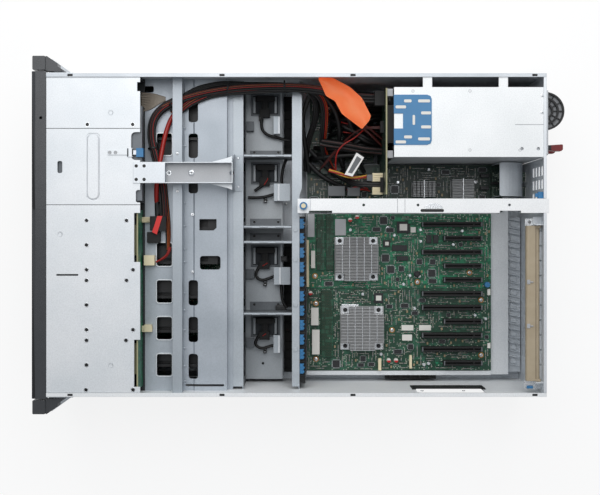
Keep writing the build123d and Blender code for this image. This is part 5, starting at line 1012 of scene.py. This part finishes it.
set_screws("retainer_end_screws", at_pixels([(529.5, 222)], 147.7), 2.4, channel_sheet)
tab = drawing(add_cuboid, (*seen_box(527, 533, 385.6, 388.6, 150.0), 147.6, 150.5))
add_piece("retainer_blue_tab", tab, blue_nylon, "blue_plastic", bevel=0.4)

# Catch behind the optical drive, the drives, the drawer's pieces and the wire connectors.
# The catch is a plated leaf spring with a blue tab; the rest is grey steel and black plastic.
coat(cover_sheet, "optical_latch")
# The optical drive takes the dark bay steel as painted shade, for the notch it lies under.
coat(bay_sheet, "optical_drive")
coat_part(bright_sheet, "optical_latch", lambda at, way: at.y > -231.5)
coat_part(blue_nylon, "optical_latch", lambda at, way: at.y > -219.5)
coat(supply_sheet, "hot_drive_1", "hot_drive_2", "drawer_tray")
coat(black_abs, "memory_cartridges")
coat(black_matt, "wire_connectors")
coat_part(cream_nylon, "wire_connectors", lambda at, way: 20 < at.x < 140)
leaf_x = -110.9
uprights = ((leaf_x - 5.4, leaf_x + 5.4, y, y + 1.7, 171.9, 172.45) for y in (-231.0, -224.6))
add_piece("latch_uprights", drawing(add_cuboid, *uprights), dark_cavity, body="optical_latch")
leaf_rivet = drawing(add_ring, (0, 0, -0.9, 0.3, 1.3, 2.5), sides=18)
add_round(leaf_rivet, 0, 0, -0.9, 0.1, 1.1, sides=14)
set_copies("latch_leaf_rivets", leaf_rivet, [(leaf_x, y, 172.1) for y in (-254.3, -246.6)], channel_sheet)

# Cables: black, red and orange insulated wires laid in bundles.
# PVC insulation is satin; each wire is drawn, and the bundles are loose.
# Under the bundles, thick power leads fill the space over the power board.
black_pvc = moulded_plastic("black_pvc_insulation", "0a0a0b", 0.48, 0.05, shade="101010")
brown_pvc = moulded_plastic("dark_red_pvc_insulation", "4f1a14", 0.38, 0.05, shade="3d1410")
red_pvc = moulded_plastic("red_pvc_insulation", "a81e14", 0.38, 0.05, shade="8e160f")
orange_pvc = moulded_plastic("orange_pvc_insulation", "a8501c", 0.4, 0.05, shade="8f4214")
yellow_pvc = moulded_plastic("yellow_pvc_insulation", "c99a2c", 0.4, 0.05, shade="b48a20")


def lay_wires(name, routes, radius, material, replaces=()):
    """Lays wires of one colour along smooth routes given in millimetres."""
    curve = bpy.data.curves.new(name, "CURVE")
    curve.dimensions = "3D"
    curve.bevel_depth = radius / 1000
    curve.bevel_resolution = 2
    curve.resolution_u = 5
    curve.use_fill_caps = True
    for route in routes:
        spline = curve.splines.new("NURBS")
        spline.points.add(len(route) - 1)
        for point, place in zip(spline.points, route):
            point.co = (place[0] / 1000, place[1] / 1000, place[2] / 1000, 1)
        spline.order_u = 3
        spline.use_endpoint_u = True
    mesh = evaluated_mesh(name, set_out(name, curve))
    mesh.materials.clear()
    mesh.materials.append(material)
    mesh.shade_smooth()
    return place_piece(name, mesh, "chassis", replaces)


def strands(route, offsets, twist=0.0):
    """Routes of the wires of a bundle: each keeps its place across it, and the bundle turns along its way."""
    routes = [[] for _ in offsets]
    for index, place in enumerate(route):
        before = Vector(route[max(index - 1, 0)])
        after = Vector(route[min(index + 1, len(route) - 1)])
        along = (after - before).normalized()
        side = along.cross(Vector((0.02, 0.01, 1))).normalized()
        rise = side.cross(along)
        cos, sin = math.cos(twist * index), math.sin(twist * index)
        for points, (across, up) in zip(routes, offsets):
            shift = side * (across * cos - up * sin) + rise * (across * sin + up * cos)
            points.append(Vector(place) + shift)
    return routes


def through_pixels(points):
    """Route under pixels of the photograph, each point given as (px, py, height)."""
    return [(*seen_at(px, py, z), z) for px, py, z in points]


bundle_z = 133.0
main_line = [(-188.0, 106.0), (-188.0, 84.0), (-196.0, 52.0), (-203.5, 8.0), (-204.5, -38.0), (-203.0, -84.0)]
main_line += [(-197.0, -128.0), (-187.0, -166.0), (-176.0, -190.0), (-158.0, -203.0), (-134.0, -204.5)]
main_line += [(-106.0, -198.0), (-80.0, -193.0), (-56.0, -188.0), (-26.0, -188.0)]
main_route = [(x, y, bundle_z) for x, y in main_line]
core = [(0, 0), (2.6, 0.4), (-2.6, -0.4), (1.2, 2.5), (-1.4, 2.3), (1.3, -2.4), (-1.2, -2.5)]
outer = [(5.0, 0.5), (-5.0, 0.3), (3.9, 2.9), (-3.8, 3.0), (4.0, -2.6), (-4.0, -2.8), (0, 4.6)]
board_drop = [(-70.0, 113.0, 118.0), (-70.0, 94.0, 118.0), (-72.0, 76.0, 107.0), (-81.0, 66.0, 92.0)]
board_drop += [(-91.5, 64.0, 78.0), (-93.5, 64.0, 64.0), (-93.5, 64.0, 50.5)]
black_routes = strands(main_route, core + outer, 0.12) + strands(board_drop, core, 0.2)
lay_wires("black_bundle", black_routes, 1.45, black_pvc, ("black_harness",))

# Two flat bundles along the left wall, which start beside the strut and dive to the power board
wall_run = [(171, 111, 130), (183, 99, 130), (197, 91, 130), (212, 87, 131), (226, 85, 131), (245, 86.5, 131)]
wall_run += [(268, 86, 131), (290, 86.5, 131), (304, 88, 128), (313, 95, 118), (317, 107, 106)]
wall_run += [(315, 122, 92), (309, 138, 74), (306, 155, 58), (306, 170, 46)]
inner_run = [(173, 115, 129), (187, 103, 129), (200, 97, 129), (212, 93, 129), (226, 91, 129), (245, 90, 129)]
inner_run += [(268, 89, 129), (290, 88, 130), (308, 88, 129), (320, 95, 122), (325, 108, 110)]
inner_run += [(324, 126, 96), (322, 142, 82), (325, 158, 66), (334, 174, 50)]
wall_route, inner_route = through_pixels(wall_run), through_pixels(inner_run)
flat_rows = [(-5.4, 0), (-2.8, 1.6), (-2.8, -1.8), (0, 2.4), (0, -0.6), (2.8, 1.6), (2.8, -1.8), (5.4, 0)]
wall_wires = strands(wall_route, flat_rows, 0.1) + strands(inner_route, flat_rows, 0.08)
lay_wires("wall_bundles", wall_wires, 1.7, black_pvc)
lay_wires("wall_orange_wires", strands(inner_route, [(-3.4, 4.0), (1.6, 4.4)], 0.12), 0.6, orange_pvc)
lay_wires("wall_red_wires", strands(inner_route, [(-0.8, 4.7), (4.4, 3.2)], 0.12), 0.6, red_pvc)
fan_leads = [
    [(262, 118), (261, 124), (262.5, 131), (268, 135.5), (277, 137.5), (284, 139.5), (289, 141)],
    [(266, 183), (260, 187), (254.5, 191)],
    [(248, 197.5), (256, 198), (265, 197), (272, 195), (279, 193)],
    [(287, 157), (283, 167), (281.5, 178), (282, 186), (284, 192)],
    [(262, 263), (256.5, 270), (255.5, 277), (262, 281), (270, 278), (275, 276)],
    [(281, 284), (281.5, 294), (283, 303), (287, 308)],
    [(261, 333), (255.5, 340), (255.5, 345.5), (262, 349), (270, 346), (275, 345)],
]
lay_wires("fan_leads", [at_pixels(pixels, 52.0) for pixels in fan_leads], 2.2, black_pvc)
fan_tips = [
    [(264, 185), (267, 181), (268, 178)],
    [(262.5, 266), (265, 264.5), (267.5, 263)],
    [(262.5, 336), (266, 333.5)],
]
lay_wires("fan_red_wires", [at_pixels(pixels, 57.5) for pixels in fan_tips], 0.8, red_pvc)
lay_wires("bundle_brown_wires", strands(main_route, [(5.6, 2.6)], 0.1), 0.7, brown_pvc)
lay_wires("bundle_red_wires", strands(main_route[1:], [(2.2, 5.2)], 0.1), 0.55, red_pvc)
lay_wires("bundle_orange_wires", strands(main_route[2:9], [(3.9, 4.6)], 0.1), 0.5, orange_pvc)
sleeve = [(-177.0, -160.0, 129.7), (-170.0, -172.0, 129.7), (-154.0, -181.0, 130.0), (-130.0, -187.0, 134.0)]
sleeve += [(-104.0, -190.5, 140.0), (-80.0, -194.5, 143.5), (-58.0, -197.0, 138.0), (-45.5, -197.0, 132.0)]
lay_wires("red_sleeve", [sleeve], 3.2, red_pvc, replaces=("red_leads",))
dark_sleeve = moulded_plastic("black_sleeve", "0e0e0f", 0.5, 0.1, shade="151516")
sleeve_end = through_pixels([(157.2, 201.5, 132), (157.0, 208, 131), (157.5, 216, 131)])
lay_wires("sleeve_black_end", [sleeve_end], 3.5, dark_sleeve)
red_drop = [(-150.0, 113.0, 120.0), (-150.0, 97.0, 120.0), (-147.0, 82.0, 111.0), (-137.0, 69.0, 99.0)]
red_drop += [(-123.0, 55.0, 87.0), (-108.0, 42.0, 80.0), (-96.0, 32.0, 73.0), (-93.5, 30.0, 63.0)]
red_drop += [(-93.5, 30.0, 50.5)]
lay_wires("red_drop", strands(red_drop, [(1.0, 0), (-1.0, 0)], 0.7), 0.95, brown_pvc)

# Power leads: thick black loops from the bundle and the power backplane down to the power board
named_leads = [
    [(322, 141, 92), (330, 142, 96), (343, 144, 98), (356, 146.5, 99), (368, 149, 98), (384, 150, 96)],
    [(320, 144, 88), (332, 146, 90), (346, 148, 92), (360, 151, 93), (384, 153, 92)],
    [(312, 88, 124), (308, 100, 112), (302, 116, 98), (303, 132, 84), (306, 150, 70), (309, 172, 52)],
    [(318, 90, 124), (331, 103, 112), (338, 118, 100), (340, 134, 88), (338, 152, 72), (344, 170, 52)],
    [(325, 92, 120), (342, 104, 108), (350, 122, 96), (356, 140, 84), (358, 160, 66), (364, 172, 50)],
    [(384, 104, 92), (372, 104, 98), (360, 110, 98), (352, 124, 88), (350, 142, 70), (352, 158, 50)],
    [(384, 96, 84), (370, 94, 92), (352, 94, 92), (340, 100, 84), (332, 116, 66), (330, 132, 46)],
    [(384, 118, 76), (374, 118, 84), (366, 122, 84), (362, 134, 72), (364, 148, 50)],
    [(306, 160, 60), (316, 172, 58), (328, 180, 56), (340, 186, 52), (356, 190, 48)],
    [(310, 150, 66), (322, 163, 62), (338, 176, 58), (352, 184, 54), (366, 188, 48)],
]
power_leads = [through_pixels(lead) for lead in named_leads]
# The random leads below are a black fill that stands in for the deep shade over the power board; the listed
# ones above are laid along their own routes.
chance = random.Random(5)
for _ in range(22):
    x = chance.uniform(-196, -112)
    high = chance.uniform(66, 96)
    end_x = min(max(x + chance.uniform(-45, 60), -202), -110)
    end_y = chance.uniform(14, 66)
    drift = end_x - x
    lead = [(x, 115.5, high - 12), (x, 104, high - 6), (x + drift * 0.2, 88, high)]
    lead += [(x + drift * 0.5, (88 + end_y) / 2, high - 6), (x + drift * 0.8, end_y + 4, high - 20)]
    power_leads.append(lead + [(end_x, end_y, high - 34), (end_x, end_y + 2, 40.0)])
lay_wires("power_leads", power_leads, 3.3, black_pvc)
lead_marks = [
    [(x + shift, y, z + rise) for x, y, z in lead]
    for lead, shift, rise in zip(power_leads, (0, 1.4), (3.2, 3.0))
]
lay_wires("power_lead_marks", lead_marks, 0.45, brown_pvc)
red_pairs = [
    [(352, 118, 100), (360, 122, 104), (368, 127, 105), (375, 133, 102), (383, 140, 96)],
    [(354, 122, 96), (362, 128, 100), (369, 133, 101), (375, 139, 98), (383, 147, 92)],
]
lay_wires("red_power_leads", [through_pixels(lead) for lead in red_pairs], 1.9, brown_pvc)
red_loops = [
    [(366, 127, 102), (357, 137, 104), (345, 143, 104), (338, 150, 103), (335, 160, 100), (336, 170, 92)],
    [(341, 122, 84), (347, 124, 86), (353, 125, 84)],
    [(340, 127, 84), (347, 129, 86), (352, 131, 84)],
    [(343, 132, 82), (349, 133, 84), (354, 133, 82)],
    [(347, 190, 66), (355, 187, 70), (362, 186, 70), (368, 189, 64)],
    [(349, 193, 66), (357, 190, 69), (364, 189, 69), (370, 191, 63)],
]
lay_wires("red_loops", [through_pixels(lead) for lead in red_loops], 1.0, red_pvc)
pair_run = [(329, 170, 104), (338, 173, 106), (348, 177, 107), (358, 178, 107), (367, 176.5, 108)]
twisted = through_pixels(pair_run)
lay_wires("twisted_red", strands(twisted, [(1.6, 0), (-1.6, 0)], 1.2), 1.2, red_pvc)
lay_wires("twisted_yellow", strands(twisted, [(0, 1.7), (0, -1.7)], 1.2), 1.1, yellow_pvc)
tail_run = [(164, 184, 128), (166, 205, 128), (168, 225, 128), (168.5, 242, 128), (167, 250, 129)]
tails = through_pixels(tail_run)
black_tails = strands(tails, [(-3.0, 0), (-1.0, 0.8), (1.2, 0.3), (3.2, 0)], 0.3)
lay_wires("black_tails", black_tails, 1.2, black_pvc)
lay_wires("brown_tails", strands(tails, [(-2.1, 1.4), (0.2, 1.9), (2.2, 1.3)], 0.3), 0.7, orange_pvc)
red_tail = through_pixels([(170, 247, 130), (169, 253, 131), (163, 259, 131), (156, 262, 131)])
lay_wires("red_tails", strands(red_tail, [(-1.0, 0), (1.0, 0)], 0.5), 1.1, red_pvc)

# Ties round the bundle, the blank red flag on the sleeve and the housings at the ends of the wires
ties = bmesh.new()
upright = Matrix.Rotation(math.pi / 2, 4, "X")
tie_places = ((-206.5, -20.0, 0), (-203.5, -98.0, 0.25), (-183.0, -176.0, 0.5), (-120.0, -201.5, 1.45))
for x, y, across in tie_places:
    turn = Matrix.Translation((x, y, bundle_z)) @ Matrix.Rotation(-across, 4, "Z") @ upright
    bmesh.ops.create_cone(ties, cap_ends=True, segments=20, radius1=7.6, radius2=7.6, depth=2.6, matrix=turn)
add_piece("bundle_ties", ties, black_nylon, "black_cable", bevel=0.4)
corners = ((157.2, 216), (162.4, 216), (156.8, 234.5), (152, 232), (154.5, 225))
flag = drawing(add_plate, ([seen_at(px, py, 142.0) for px, py in corners], 141.4, 142.2))
red_film = moulded_plastic("red_film", "e02a26", 0.35, 0.05, shade="d0221e", rounded=False)
add_piece("red_flag", flag, red_film, "red_cable")
front_plugs, cream_plugs, grey_plugs = bmesh.new(), bmesh.new(), bmesh.new()
for *pixels, low, high in ((147, 160, 232, 243, 125.0, 136.0), (157, 161, 204, 214, 126.0, 134.0)):
    add_cuboid(front_plugs, *seen_box(*pixels, high), low, high)
for *pixels, low, high in (
    (372.5, 383, 173, 181.5, 108.0, 122.0),
    (372.5, 383, 187, 194.5, 106.0, 120.0),
    (140, 152, 217, 222.5, 125.0, 133.0),
    (142, 152, 326, 332, 125.0, 133.0),
):
    x0, x1, y0, y1 = seen_box(*pixels, high)
    add_cuboid(cream_plugs, x0, x1, y0, y1, low, high)
    for x in [x0 + (x1 - x0) * (rib + 1) / 4 for rib in range(3)]:
        add_cuboid(cream_plugs, x - 0.4, x + 0.4, y0 + 1, y1 - 1, high, high + 0.7)
for *pixels, low, high in (
    (328, 345, 186, 196, 60.0, 72.0),
    (347.5, 360, 187.5, 196, 60.0, 72.0),
    (367, 373, 174.5, 181, 108.0, 122.0),
):
    x0, x1, y0, y1 = seen_box(*pixels, high)
    add_cuboid(grey_plugs, x0, x1, y0, y1, low, high)
    add_cuboid(grey_plugs, x0 + 1, x1 - 1, y0 + 1, y1 - 1, board_z, low)
add_piece("front_black_plugs", front_plugs, black_matt, "black_plastic", bevel=0.5)
add_piece("cream_plugs", cream_plugs, cream_nylon, "cream_plastic", bevel=0.4)
add_piece("grey_plugs", grey_plugs, grey_nylon, "black_plastic", bevel=0.5)

# Flat ribbon: a fan of thin beige conductors that narrows as it dives under the shelf
beige_pvc = moulded_plastic("beige_ribbon_insulation", "a79c8e", 0.45, 0.05, shade="958a7c")
fan_rows = ((-197.0, 25.0, -219.0, 126.0), (-196.4, 22.5, -207.0, 126.2))
fan_rows += ((-194.0, 11.0, -195.0, 126.2), (-190.6, 3.4, -185.5, 125.8))
conductors = [[(x + width * index / 10, y, z) for x, width, y, z in fan_rows] for index in range(11)]
lay_wires("ribbon_conductors", conductors, 1.15, beige_pvc, ("ribbon_cable",))

# Orange film tag: a long curled strip, paler along its middle, and a small white one
upper_edge = [(319, 77.5), (333, 78), (350, 87), (362, 98), (371, 116), (369, 121)]
lower_edge = [(318.5, 79.5), (322, 86.5), (326, 96), (335, 101), (342, 114), (362, 129)]


def along_edge(points, share):
    """Point at a share of the way along a row of points."""
    place = share * (len(points) - 1)
    index = min(int(place), len(points) - 2)
    part = place - index
    return tuple(a + (b - a) * part for a, b in zip(points[index], points[index + 1]))


tag = bmesh.new()
grid = []
for share in [step / 24 for step in range(25)]:
    edges = (along_edge(upper_edge, share), along_edge(lower_edge, share))
    row = []
    for part in [across / 8 for across in range(9)]:
        z = 141.5 + 4.5 * math.sin(math.pi * part) + 2.5 * math.sin(share * 5.0) * part
        row.append(tag.verts.new((*seen_at(*along_edge(edges, part), z), z)))
    grid.append(row)
for row, after in zip(grid, grid[1:]):
    for across in range(8):
        tag.faces.new((row[across], row[across + 1], after[across + 1], after[across]))
bmesh.ops.solidify(tag, geom=tag.faces[:], thickness=0.5)
tag_film = moulded_plastic("orange_tag_film", "ff8a50", 0.4, 0.05, shade="ffb27c", rounded=False)
# The film glows a little orange: painted light that brightens it where it lies in shade.
glow = {"Emission Color": linear("ff7a3c"), "Emission Strength": 0.22}
fill(tag_film.node_tree.nodes["Principled BSDF"], glow)
add_piece("orange_film_tag", tag, tag_film, "orange_paper", replaces=("orange_tag",)).data.shade_smooth()
tag_z = 118.0
corners = ((356.5, 152.5), (364, 157.5), (352.5, 176.5), (344.5, 174.5))
white_tag = drawing(add_plate, ([seen_at(px, py, tag_z) for px, py in corners], tag_z - 1, tag_z))
white_film = moulded_plastic("white_film", "f2f2f0", 0.5, 0.05, shade="e6e6e4", rounded=False)
add_piece("white_wire_tag", white_tag, white_film, "cream_plastic")
corners = ((357, 156), (361.5, 159), (352, 173.5), (348, 172.5))
tag_pad = drawing(add_plate, ([seen_at(px, py, tag_z) for px, py in corners], tag_z - 0.1, tag_z + 0.2))
add_piece("white_wire_tag_pad", tag_pad, grey_nylon, "cream_plastic")

# Black piece in the wall gap beside the slot boards, and the drawer's own small parts.
# A black foam seal closes the gap; the drawer's board carries parts like the other boards.
black_foam = moulded_plastic("black_foam", "101010", 0.8, shade="181818")
foam = drawing(add_cuboid, (207.2, 213.5, 128.0, 203.0, 18.0, 30.0))
for y in [136.0 + step * 14.5 for step in range(5)]:
    add_round(foam, 210.2, y, 30.0, 33.0, 3.0, 2.4, sides=14)
add_piece("wall_seal", foam, black_foam, "black_plastic", bevel=0.6)
# Black strips along the lower edge and the two ends of the window in the right wall.
sides = ((161.0, 259.0, 84.0, 108.0), (158.5, 164.0, 84.0, 116.0), (256.0, 261.5, 84.0, 116.0))
lining = drawing(add_cuboid, *((214.6, 216.6, *side) for side in sides))
add_piece("wall_window_lining", lining, black_foam, "black_plastic", bevel=0.8)
drawer_taken = [(-200, 200, -116, -100)]
drawer_taken += [(x - 43, x + 43, -331, -251) for x in (-147.0, -49.0, 49.0, 147.0)]
drawer_taken += [(x - 18, x + 18, -239, -113) for x in range(-168, 169, 48)]
drawer_area, drawer_counts = (-196, 196, -330, -118), (10, 16, 24, 60)
drawer_board = (61, drawer_area, drawer_taken, drawer_board_z, drawer_counts)
populate("drawer_board", *drawer_board, "processor_drawer")
